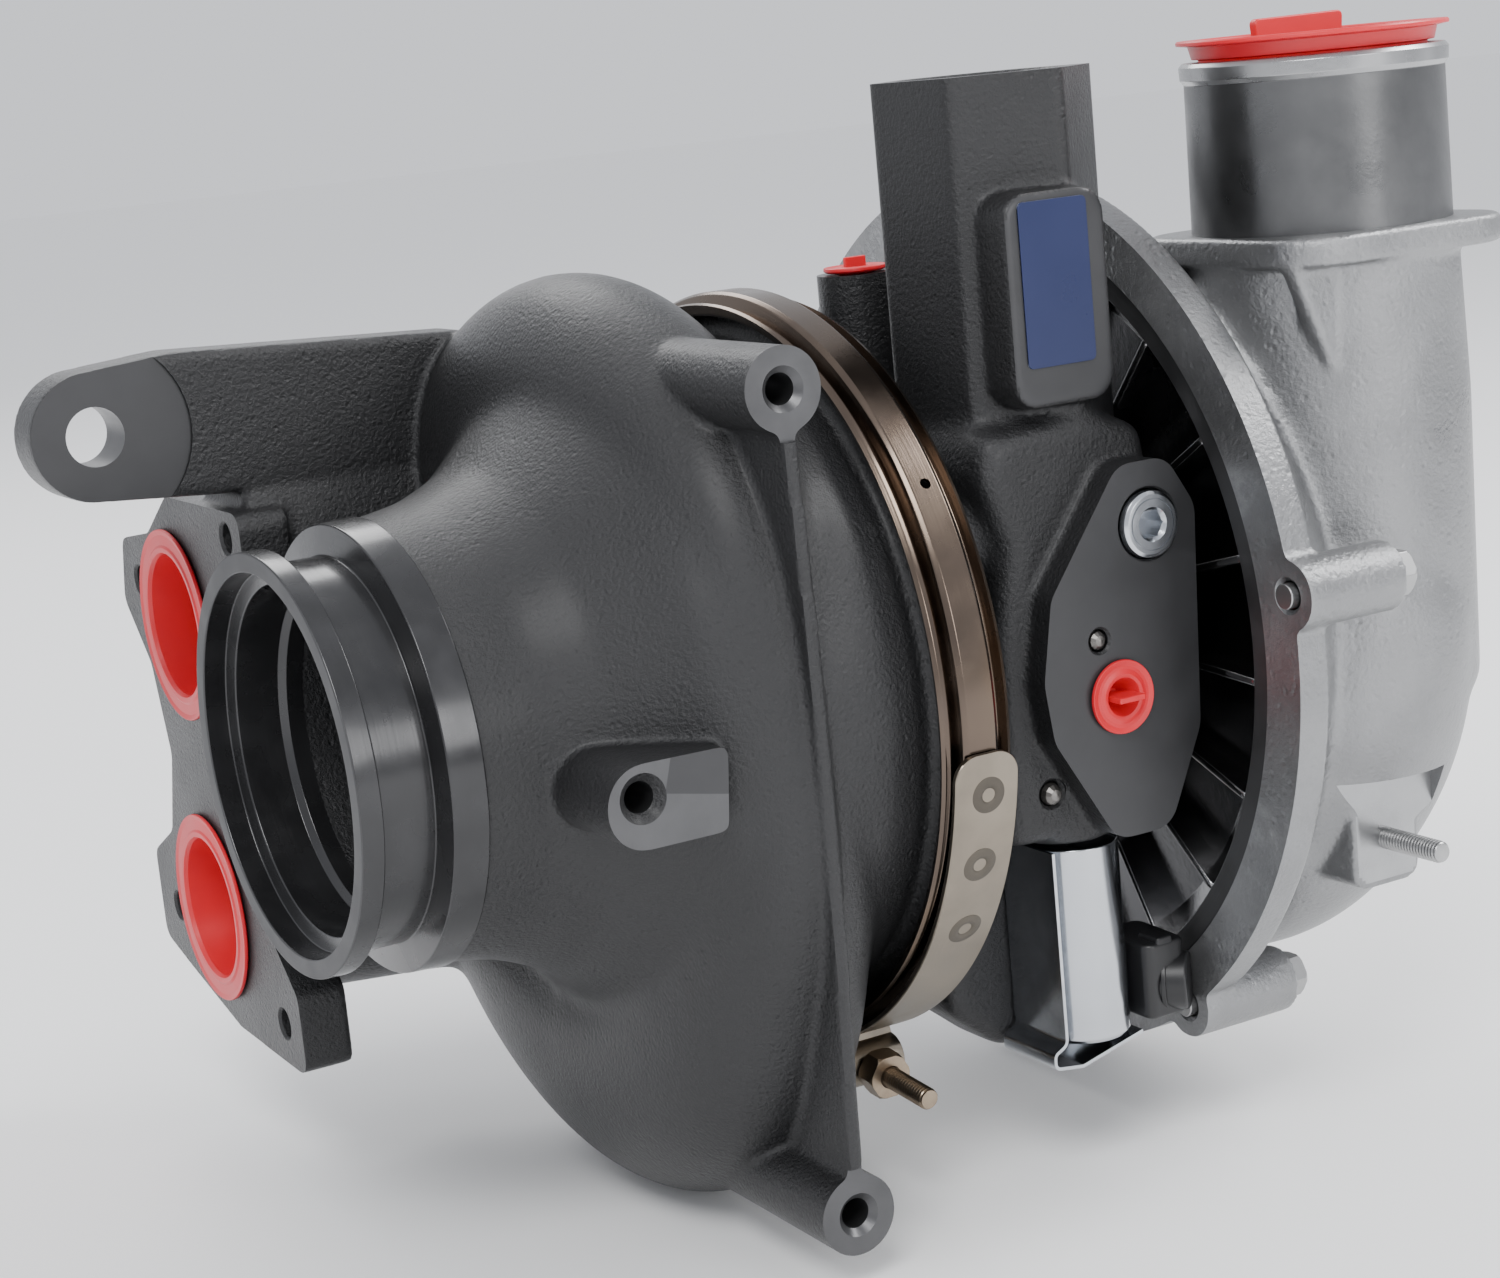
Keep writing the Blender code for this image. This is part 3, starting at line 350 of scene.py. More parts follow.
def coated_iron(colours, grain):
    made = Finish("coated_iron", 0.35, 0.42, colours.iron, Coat_Weight=0.12, Coat_Roughness=0.28)
    skin = made.use("cast_skin", Scale=1.0 / grain, Pits=0.35)
    wear_and_highlight = made.use("edge_wear_and_highlight", y=-300, Amount=0.35)
    tone = made.blend(skin.outputs["Stain"], shade(colours.iron, 0.72), shade(colours.iron, 1.35), -600,
                      200)
    made.link(made.blend(wear_and_highlight.outputs["Mask"], tone, shade(colours.iron, 2.6)), "Base Color")
    made.spread(skin.outputs["Stain"], 0.30, 0.46, "Roughness")
    made.bump([(skin.outputs["Height"], 0.75)], 0.0008)
    return made.material


def machined_iron(colours, grain):
    made = Finish("machined_iron", 0.85, 0.34, colours.machined)
    marks = made.use("tool_marks", Axis=(0.0, 1.0, 0.0), Lines=1400.0)
    tone = made.blend(marks.outputs["Smear"], shade(colours.machined, 0.55), shade(colours.machined, 1.3))
    made.link(tone, "Base Color")
    made.spread(marks.outputs["Smear"], 0.26, 0.46, "Roughness")
    made.bump([(marks.outputs["Height"], 0.12)], 0.0002)
    return made.material


def milled_face(colours, grain):
    """Milled face under the same charcoal coating: smooth and satin."""
    made = Finish("milled_face", 0.45, 0.4, shade(colours.iron, 1.8), Coat_Weight=0.08, Coat_Roughness=0.3)
    marks = made.use("tool_marks", Axis=(0.0, 1.0, 0.0), Lines=1000.0)
    made.link(made.blend(marks.outputs["Smear"], shade(colours.iron, 1.5), shade(colours.iron, 2.6)),
              "Base Color")
    made.spread(marks.outputs["Smear"], 0.36, 0.46, "Roughness")
    made.bump([(marks.outputs["Height"], 0.05)], 0.0002)
    return made.material


def turned_iron(colours, grain):
    """Turned and oiled face of the exhaust outlet: dark, smooth and glossy."""
    made = Finish("turned_iron", 0.6, 0.26, shade(colours.iron, 1.4), Coat_Weight=0.3, Coat_Roughness=0.14)
    marks = made.use("tool_marks", Axis=(1.0, 0.0, 0.0), Lines=1100.0)
    made.link(made.blend(marks.outputs["Smear"], shade(colours.iron, 1.0), shade(colours.iron, 2.4)),
              "Base Color")
    made.spread(marks.outputs["Smear"], 0.18, 0.36, "Roughness")
    made.bump([(marks.outputs["Height"], 0.16)], 0.0002)
    return made.material


def bare_ring(colours, grain):
    made = Finish("bare_ring", 0.9, 0.5, shade(colours.machined, 0.8))
    marks = made.use("tool_marks", Axis=(1.0, 0.0, 0.0), Lines=1500.0)
    made.link(made.blend(marks.outputs["Smear"], shade(colours.machined, 0.5),
                         shade(colours.machined, 1.2)),
              "Base Color")
    made.spread(marks.outputs["Smear"], 0.42, 0.62, "Roughness")
    made.bump([(marks.outputs["Height"], 0.2)], 0.0002)
    return made.material


def tumbled_aluminium(colours, grain):
    made = Finish("tumbled_aluminium", 0.9, 0.36, colours.aluminium)
    skin = made.use("cast_skin", Scale=0.8 / grain, Pits=0.55)
    wear_and_highlight = made.use("edge_wear_and_highlight", y=-300, Amount=0.3)
    tone = made.blend(skin.outputs["Stain"], shade(colours.aluminium, 0.5), shade(colours.aluminium, 1.5),
                      -600, 200)
    # The brighter colour on sharp edges is partly edge wear and partly painted highlight.
    made.link(made.blend(wear_and_highlight.outputs["Mask"], tone, shade(colours.aluminium, 2.4)), "Base Color")
    made.spread(skin.outputs["Stain"], 0.26, 0.5, "Roughness")
    made.bump([(skin.outputs["Height"], 0.55)], 0.0006)
    return made.material


def turned_aluminium(colours, grain):
    made = Finish("turned_aluminium", 0.95, 0.25, shade(colours.aluminium, 2.2))
    marks = made.use("tool_marks", Axis=(0.0, 0.0, 1.0), Lines=900.0)
    made.link(made.blend(marks.outputs["Smear"], shade(colours.aluminium, 0.9),
                         shade(colours.aluminium, 1.7)),
              "Base Color")
    made.spread(marks.outputs["Smear"], 0.2, 0.38, "Roughness")
    made.bump([(marks.outputs["Height"], 0.12)], 0.0002)
    return made.material


def stained_aluminium(colours, grain):
    """Turned tube that has darkened in blotches."""
    made = Finish("stained_aluminium", 0.95, 0.3, shade(colours.aluminium, 0.6))
    marks = made.use("tool_marks", Axis=(0.0, 0.0, 1.0), Lines=900.0)
    skin = made.use("cast_skin", y=-300, Scale=0.5 / grain, Pits=0.4)
    tone = made.blend(skin.outputs["Stain"], shade(colours.aluminium, 0.2), shade(colours.aluminium, 0.75))
    made.link(tone, "Base Color")
    made.spread(marks.outputs["Smear"], 0.24, 0.42, "Roughness")
    made.bump([(marks.outputs["Height"], 0.12), (skin.outputs["Height"], 0.1)], 0.0002)
    return made.material


def dark_backplate(colours, grain):
    made = Finish("dark_backplate", 1.0, 0.2, (0.17, 0.17, 0.175), Coat_Weight=0.3, Coat_Roughness=0.12)
    skin = made.use("cast_skin", Scale=0.6 / grain, Pits=0.2)
    wear_and_highlight = made.use("edge_wear_and_highlight", y=-300, Amount=0.9, Scale=90.0)
    # The edge mask blends in a pale grey: painted highlight along the rib edges.
    made.link(made.blend(wear_and_highlight.outputs["Mask"], (0.17, 0.17, 0.175), (0.75, 0.75, 0.75)), "Base Color")
    made.spread(skin.outputs["Stain"], 0.14, 0.3, "Roughness")
    made.bump([(skin.outputs["Height"], 0.16)], 0.0004)
    return made.material


def tinted_stainless(colours, grain):
    """Rolled stainless with a straw and bronze heat tint that changes along the band."""
    made = Finish("tinted_stainless", 1.0, 0.22, colours.stainless)
    marks = made.use("tool_marks", Axis=(1.0, 0.0, 0.0), Lines=1900.0)
    place = add(made.tree, "ShaderNodeTexCoord", -1300, 400)
    drift = add(made.tree, "ShaderNodeTexNoise", -1100, 400, Scale=16.0, Detail=3.0)
    made.link(place.outputs["Object"], drift.inputs["Vector"])
    tint = ramp(made.tree, [(0.30, (0.07, 0.055, 0.05, 1)), (0.48, (*colours.stainless, 1)),
                            (0.60, (0.20, 0.13, 0.08, 1)), (0.72, (0.11, 0.095, 0.10, 1))], -860, 400)
    made.link(drift.outputs["Fac"], tint.inputs["Fac"])
    made.link(made.blend(marks.outputs["Smear"], tint.outputs["Color"], shade(colours.stainless, 1.15)),
              "Base Color")
    made.spread(marks.outputs["Smear"], 0.16, 0.3, "Roughness")
    made.bump([(marks.outputs["Height"], 0.1)], 0.0002)
    return made.material


def strap_steel(colours, grain):
    made = Finish("strap_steel", 1.0, 0.36, colours.strap)
    marks = made.use("tool_marks", Axis=(0.0, 0.8, 0.6), Lines=700.0)
    made.link(made.blend(marks.outputs["Smear"], shade(colours.strap, 0.6), shade(colours.strap, 1.25)),
              "Base Color")
    made.spread(marks.outputs["Smear"], 0.28, 0.46, "Roughness")
    made.bump([(marks.outputs["Height"], 0.15)], 0.0002)
    return made.material


def weld_scorch(colours, grain):
    made = Finish("weld_scorch", 0.7, 0.5, shade(colours.strap, 0.32))
    skin = made.use("cast_skin", Scale=1.3 / grain, Pits=0.3)
    made.link(made.blend(skin.outputs["Stain"], shade(colours.strap, 0.2), shade(colours.strap, 0.55)),
              "Base Color")
    made.bump([(skin.outputs["Height"], 0.3)], 0.0003)
    return made.material


def plated(name, colour, roughness):
    """Plated or bare steel and bronze: fine grain, with worn edges a little brighter."""
    made = Finish(name, 1.0, roughness, colour)
    skin = made.use("cast_skin", Scale=500.0, Pits=0.0)
    wear_and_highlight = made.use("edge_wear_and_highlight", y=-300, Amount=0.4)
    tone = made.blend(skin.outputs["Stain"], shade(colour, 0.7), shade(colour, 1.15), -600, 200)
    made.link(made.blend(wear_and_highlight.outputs["Mask"], tone, shade(colour, 1.4)), "Base Color")
    made.spread(skin.outputs["Stain"], roughness * 0.8, roughness * 1.35, "Roughness")
    made.bump([(skin.outputs["Grain"], 0.06)], 0.0002)
    return made.material


def moulded(name, colour, roughness, clear=0.0):
    """Moulded plastic: a fine matte texture, with light passing a little way in where it is soft."""
    made = Finish(name, 0.0, roughness, colour, Subsurface_Weight=clear, Subsurface_Scale=0.002)
    skin = made.use("cast_skin", Scale=700.0, Pits=0.0)
    made.link(made.blend(skin.outputs["Stain"], shade(colour, 0.82), shade(colour, 1.15)), "Base Color")
    made.spread(skin.outputs["Stain"], roughness * 0.85, roughness * 1.2, "Roughness")
    made.bump([(skin.outputs["Grain"], 0.08)], 0.0002)
    return made.material


def finish(name):
    """The material of that name, made on first use."""
    found = bpy.data.materials.get(name)
    if found:
        return found
    colours = bpy.context.scene.turbo_finishes
    grain = bpy.context.scene.turbo_sizes.grain
    makers = {"coated_iron": coated_iron, "machined_iron": machined_iron, "turned_iron": turned_iron,
              "bare_ring": bare_ring, "tumbled_aluminium": tumbled_aluminium,
              "turned_aluminium": turned_aluminium,
              "dark_backplate": dark_backplate, "tinted_stainless": tinted_stainless,
              "strap_steel": strap_steel,
              "weld_scorch": weld_scorch, "milled_face": milled_face,
              "stained_aluminium": stained_aluminium}
    if name in makers:
        return makers[name](colours, grain)
    plain = {"zinc_plate": lambda: plated(name, colours.zinc, 0.2),
             "bare_steel": lambda: plated(name, (0.40, 0.40, 0.40), 0.32),
             "bronze_plate": lambda: plated(name, (0.34, 0.27, 0.20), 0.3),
             "bearing_bronze": lambda: plated(name, (0.50, 0.33, 0.16), 0.3),
             "turbine_alloy_and_painted_shade": lambda: plated(name, (0.20, 0.19, 0.18), 0.4),
             "red_cap": lambda: moulded(name, colours.cap, 0.38, 0.25),
             "moulded_black": lambda: moulded(name, (0.010, 0.010, 0.011), 0.38),
             "black_rubber": lambda: moulded(name, (0.014, 0.014, 0.014), 0.65),
             "label_film": lambda: moulded(name, colours.label, 0.3),
             "label_edge": lambda: moulded(name, (0.30, 0.33, 0.42), 0.3)}
    return plain[name]()


# ---------------------------------------------------------------- mesh helpers


def mesh_object(name, points, faces, look, sharp=32):
    """A closed mesh from points in millimetres."""
    mesh = bpy.data.meshes.new(name)
    mesh.from_pydata([Vector(p) * MM for p in points], [], faces)
    builder = bmesh.new()
    builder.from_mesh(mesh)
    bmesh.ops.recalc_face_normals(builder, faces=builder.faces)
    builder.to_mesh(mesh)
    builder.free()
    made = bpy.data.objects.new(name, mesh)
    bpy.context.scene.collection.objects.link(made)
    mesh.materials.append(finish(look))
    smooth(made, sharp)
    return made


def smooth(obj, sharp=32):
    obj.data.shade_smooth()
    obj.data.set_sharp_from_angle(angle=math.radians(sharp))


def across(direction):
    """The direction made unit, and two more unit vectors square to it."""
    along = Vector(direction).normalized()
    side = Vector((0, 0, 1)) if abs(along.z) < 0.9 else Vector((1, 0, 0))
    first = side.cross(along).normalized()
    return along, first, along.cross(first)


def eased(outline, radius, steps=4, closed=True):
    """The outline's corners replaced by arcs; radius is one value or one for each corner."""
    count = len(outline)
    radii = radius if isinstance(radius, (list, tuple)) else [radius] * count
    made = []
    for k in range(count):
        here = Vector(outline[k])
        before = Vector(outline[k - 1]) - here
        after = Vector(outline[(k + 1) % count]) - here
        ended = not closed and k in (0, count - 1)
        if ended or radii[k] <= 0 or before.length < 1e-6 or after.length < 1e-6:
            made.append(tuple(here))
            continue
        back, ahead = before.normalized(), after.normalized()
        half = back.angle(ahead) / 2
        if half > 1.54 or half < 0.02:
            made.append(tuple(here))
            continue
        reach = min(radii[k] / math.tan(half), before.length * 0.49, after.length * 0.49)
        size = reach * math.tan(half)
        centre = here + (back + ahead).normalized() * size / math.sin(half)
        first, last = here + back * reach - centre, here + ahead * reach - centre
        made += [tuple(centre + first.slerp(last, step / steps) * size) for step in range(steps + 1)]
    return made


def turned(name, profile, look, base=(0, 0, 0), direction=(1, 0, 0), sides=96, ease=0.0, sharp=32):
    """A closed profile of (distance along the axis, radius) turned round the axis."""
    if ease:
        profile = eased(profile, [0.0 if r == 0 else ease for _, r in profile], 3)
    along, first, second = across(direction)
    points, rings = [], []
    for distance, radius in profile:
        centre = Vector(base) + along * distance
        if radius < 1e-6:
            rings.append([len(points)] * sides)
            points.append(centre)
            continue
        rings.append(list(range(len(points), len(points) + sides)))
        for k in range(sides):
            a = 2 * math.pi * k / sides
            points.append(centre + (first * math.cos(a) + second * math.sin(a)) * radius)
    faces = []
    for ring, following in zip(rings, rings[1:] + rings[:1]):
        if ring[0] == ring[1] and following[0] == following[1]:
            continue
        for k in range(sides):
            m = (k + 1) % sides
            corners = dict.fromkeys((ring[k], ring[m], following[m], following[k]))
            faces.append(list(corners))
    return mesh_object(name, points, faces, look, sharp)


def bar(name, start, end, radius, look, ease=0.6, sides=48):
    """A round bar between two points with eased ends."""
    start, end = Vector(start), Vector(end)
    length = (end - start).length
    return turned(name, [(0, 0), (0, radius), (length, radius), (length, 0)], look, start, end - start,
                  sides, ease)


def slab(name, outline, low, high, look, plane="YZ", ease=0.0):
    """An outline pushed along its plane's normal, its long edges bevelled by ease."""
    place = {"YZ": lambda a, b, n: (n, a, b), "XZ": lambda a, b, n: (a, n, b), "XY": lambda a, b,
             n: (a, b, n)}[plane]
    count = len(outline)
    points = [place(a, b, low) for a, b in outline] + [place(a, b, high) for a, b in outline]
    faces = [list(range(count)), list(range(2 * count - 1, count - 1, -1))]
    faces += [[k, (k + 1) % count, count + (k + 1) % count, count + k] for k in range(count)]
    made = mesh_object(name, points, faces, look)
    if ease:
        bevel(made, ease)
    return made


def settle(obj):
    """Applies every modifier on the object."""
    bpy.context.view_layer.update()
    graph = bpy.context.evaluated_depsgraph_get()
    mesh = bpy.data.meshes.new_from_object(obj.evaluated_get(graph), preserve_all_data_layers=True,
                                           depsgraph=graph)
    obj.modifiers.clear()
    old, obj.data = obj.data, mesh
    mesh.name = obj.name
    bpy.data.meshes.remove(old)
    return obj


def bevel(obj, width, angle=30, segments=3):
    step = obj.modifiers.new("bevel", "BEVEL")
    step.width = width * MM
    step.segments = segments
    step.limit_method = "ANGLE"
    step.angle_limit = math.radians(angle)
    settle(obj)
    smooth(obj)
    return obj


def merge(name, pieces):
    """Several pieces as one object whose shells still overlap; materials are kept apart."""
    builder = bmesh.new()
    materials = []
    for piece in pieces:
        offset = len(builder.faces)
        indices = []
        for look in piece.data.materials:
            if look not in materials:
                materials.append(look)
            indices.append(materials.index(look))
        builder.from_mesh(piece.data)
        builder.faces.ensure_lookup_table()
        for face in builder.faces[offset:]:
            face.material_index = indices[face.material_index]
        old = piece.data
        bpy.data.objects.remove(piece)
        bpy.data.meshes.remove(old)
    mesh = bpy.data.meshes.new(name)
    builder.to_mesh(mesh)
    builder.free()
    made = bpy.data.objects.new(name, mesh)
    bpy.context.scene.collection.objects.link(made)
    for look in materials:
        mesh.materials.append(look)
    return made


def fuse(name, pieces, look, voxel, rounds):
    """Welds overlapping closed shells into one skin and eases the creases as a mould would."""
    made = merge(name, pieces)
    step = made.modifiers.new("skin", "REMESH")
    step.mode = "VOXEL"
    step.voxel_size = voxel * 1.0
    step.use_smooth_shade = True
    step = made.modifiers.new("ease", "SMOOTH")
    step.factor = 0.5
    step.iterations = rounds
    settle(made)
    made.data.materials.clear()
    made.data.materials.append(finish(look))
    return made


def boolean(target, tool, operation="DIFFERENCE"):
    """Cuts a tool from the target, or keeps what they share, and removes the tool."""
    before = len(target.data.vertices)
    step = target.modifiers.new("cut", "BOOLEAN")
    step.operation = operation
    step.object = tool
    step.solver = "MANIFOLD"
    settle(target)
    if len(target.data.vertices) == before:
        raise RuntimeError(f"{tool.name} left {target.name} as it was")
    bpy.data.objects.remove(tool)
    return target


def carve(target, *tools):
    for tool in tools:
        boolean(target, tool)
    return target


def paint(obj, look, test):
    """Gives a second finish to the faces that pass test(centre in mm, normal), both as arrays."""
    mesh = obj.data
    if look not in [m.name for m in mesh.materials]:
        mesh.materials.append(finish(look))
    index = [m.name for m in mesh.materials].index(look)
    count = len(mesh.polygons)
    centres, normals = np.empty(3 * count), np.empty(3 * count)
    slots = np.empty(count, dtype=np.int32)
    mesh.polygons.foreach_get("center", centres)
    mesh.polygons.foreach_get("normal", normals)
    mesh.polygons.foreach_get("material_index", slots)
    slots[test(centres.reshape(-1, 3).T / MM, normals.reshape(-1, 3).T)] = index
    mesh.polygons.foreach_set("material_index", slots)


def near(centres, x, z):
    """Distance of each centre from a line along Y through x, z."""
    return np.hypot(centres[0] - x, centres[2] - z)


def on_circle(radius, degrees, x=0.0):
    a = math.radians(degrees)
    return Vector((x, radius * math.cos(a), radius * math.sin(a)))


def periodic(knots, degrees):
    """A smooth closed curve of value against angle, through the knots (angle, value)."""
    knots = sorted(knots)
    angle = (degrees - knots[0][0]) % 360 + knots[0][0]
    count = len(knots)
    for k in range(count):
        a0, v0 = knots[k]
        a1, v1 = knots[(k + 1) % count]
        a1 = a1 if a1 > a0 else a1 + 360
        if a0 <= angle <= a1:
            before, after = knots[k - 1][1], knots[(k + 2) % count][1]
            t = (angle - a0) / (a1 - a0)
            bend = t * (2 * before - 5 * v0 + 4 * v1 - after + t * (3 * (v0 - v1) + after - before))
            return v0 + 0.5 * t * (v1 - before + bend)
    return knots[0][1]


def scroll(name, reach, inner, half_width, mid_x, look, around=120, sides=40):
    """A ring of oval sections whose outer radius follows reach(angle)."""
    points, faces = [], []
    for i in range(around):
        degrees = 360 * i / around
        outer = reach(degrees)
        middle, semi = (outer + inner) / 2, (outer - inner) / 2
        wide = half_width(degrees)
        for k in range(sides):
            a = 2 * math.pi * k / sides
            points.append(on_circle(middle + semi * math.cos(a), degrees, mid_x + wide * math.sin(a)))
    for i in range(around):
        for k in range(sides):
            m, n = (k + 1) % sides, (i + 1) % around
            faces.append([i * sides + k, i * sides + m, n * sides + m, n * sides + k])
    return mesh_object(name, points, faces, look)


def swept_arc(name, section, start, end, look, steps, base=(0, 0, 0)):
    """A section of (x, radius) swept round the rotor's axis between two angles, ends closed."""
    points = [on_circle(r, start + (end - start) * i / steps, x) + Vector(base)
              for i in range(steps + 1) for x, r in section]
    count = len(section)
    faces = [list(range(count)), list(range(steps * count + count - 1, steps * count - 1, -1))]
    for i in range(steps):
        for k in range(count):
            m = (k + 1) % count
            faces.append([i * count + k, i * count + m, (i + 1) * count + m, (i + 1) * count + k])
    return mesh_object(name, points, faces, look)


def threaded(name, start, direction, length, radius, pitch, look, sides=28, depth=0.34):
    """A rod whose skin is a helical thread, fading out at both ends."""
    along, first, second = across(direction)
    rows = int(length / pitch * 6)
    points, faces = [Vector(start)], []
    for i in range(rows + 1):
        z = length * i / rows
        for k in range(sides):
            turn = k / sides
            wave = abs(((z / pitch - turn) % 1.0) - 0.5) * 2
            fade = min(1.0, (length - z) / 0.9, z / 0.5)
            r = radius - depth * (1 - wave) - depth * 1.2 * (1 - fade)
            a = 2 * math.pi * turn
            points.append(Vector(start) + along * z + (first * math.cos(a) + second * math.sin(a)) * r)
    points.append(Vector(start) + along * length)
    for i in range(rows):
        for k in range(sides):
            a, b = 1 + i * sides, 1 + (i + 1) * sides
            faces.append([a + k, a + (k + 1) % sides, b + (k + 1) % sides, b + k])
    last = 1 + rows * sides
    for k in range(sides):
        faces.append([0, 1 + (k + 1) % sides, 1 + k])
        faces.append([len(points) - 1, last + k, last + (k + 1) % sides])
    return mesh_object(name, points, faces, look, 55)


def hex_head(name, base, direction, width, height, look, crown=True):
    """A hexagonal head or nut with the corners turned off at its outer end."""
    radius = width / math.sqrt(3)
    made = turned(name, [(0, 0), (0, radius), (height, radius), (height, 0)], look, base, direction, 6)
    inner = radius * 0.9
    dome = [(-1, 0), (-1, radius + 3), (height - 1.1, radius + 0.02), (height, inner), (height, 0)]
    if not crown:
        dome = [(0, 0), (0, inner), (1.1, radius + 0.02), (height - 1.1, radius + 0.02), (height, inner),
                (height, 0)]
    boolean(made, turned("dome", dome, look, base, direction, 48), "INTERSECT")
    smooth(made, 25)
    return bevel(made, 0.18, 25, 2)


def finish_piece(obj, body, slot, *nodes):
    """Evens the shading, ties the piece to its body and hides the CAD nodes it stands for; the slot
    argument is not used.
    """
    step = obj.modifiers.new("even", "WEIGHTED_NORMAL")
    step.keep_sharp = True
    settle(obj)
    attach(obj, body)
    if nodes:
        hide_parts(*nodes)
    return obj


def dress(look, *names):
    """Gives CAD nodes that keep their own meshes a finish."""
    for name in names:
        for entry in NODES[name].material_slots:
            entry.material = finish(look)


def sheet_section(line, thickness):
    """A bent line in two dimensions thickened into a closed section."""
    inner = []
    for k, here in enumerate(line):
        before, after = Vector(line[max(k - 1, 0)]), Vector(line[min(k + 1, len(line) - 1)])
        along = (after - before).normalized()
        inner.append((here[0] + along.y * thickness, here[1] - along.x * thickness))
    return list(line) + inner[::-1]


def box(name, low, high, look="coated_iron"):
    return slab(name, [(low[0], low[1]), (high[0], low[1]), (high[0], high[1]), (low[0], high[1])], low[2],
                high[2],
                look, "XY")


# ---------------------------------------------------------------- turbine housing

TURBINE_REACH = ((180, 95), (135, 103), (90, 114), (45, 126), (0, 137), (-45, 147), (-84, 146), (-112, 136),
                 (-140, 112))


def turbine_reach(degrees):
    return periodic(TURBINE_REACH, degrees)


def turbine_width(degrees):
    return 22 + 0.20 * (turbine_reach(degrees) - 95)


def port_legs(name, radius, far_x, look):
    """Each port's straight mouth and the slanted run that leads it into the scroll."""
    legs = []
    for (y, z), target in zip(PORTS, ((88.0, 30.0), (84.0, -62.0))):
        bend = Vector((FLANGE_X + 24, y, z))
        legs.append(bar(name, (far_x, y, z), bend, radius, look, 0))
        legs.append(bar(name, bend - Vector((6, 0, 0)), (SCROLL_X, *target), radius, look, 0))
    return legs


def tapped_hole(name, mouth, direction, radius, depth, look, chamfer=1.3):
    """Cutter for a drilled hole with a countersunk mouth."""
    profile = [(-3, 0), (-3, radius + chamfer + 0.001), (0, radius + chamfer), (chamfer, radius),
               (depth, radius),
               (depth + radius * 0.55, 0)]
    return turned(name, profile, look, mouth, direction, 40)


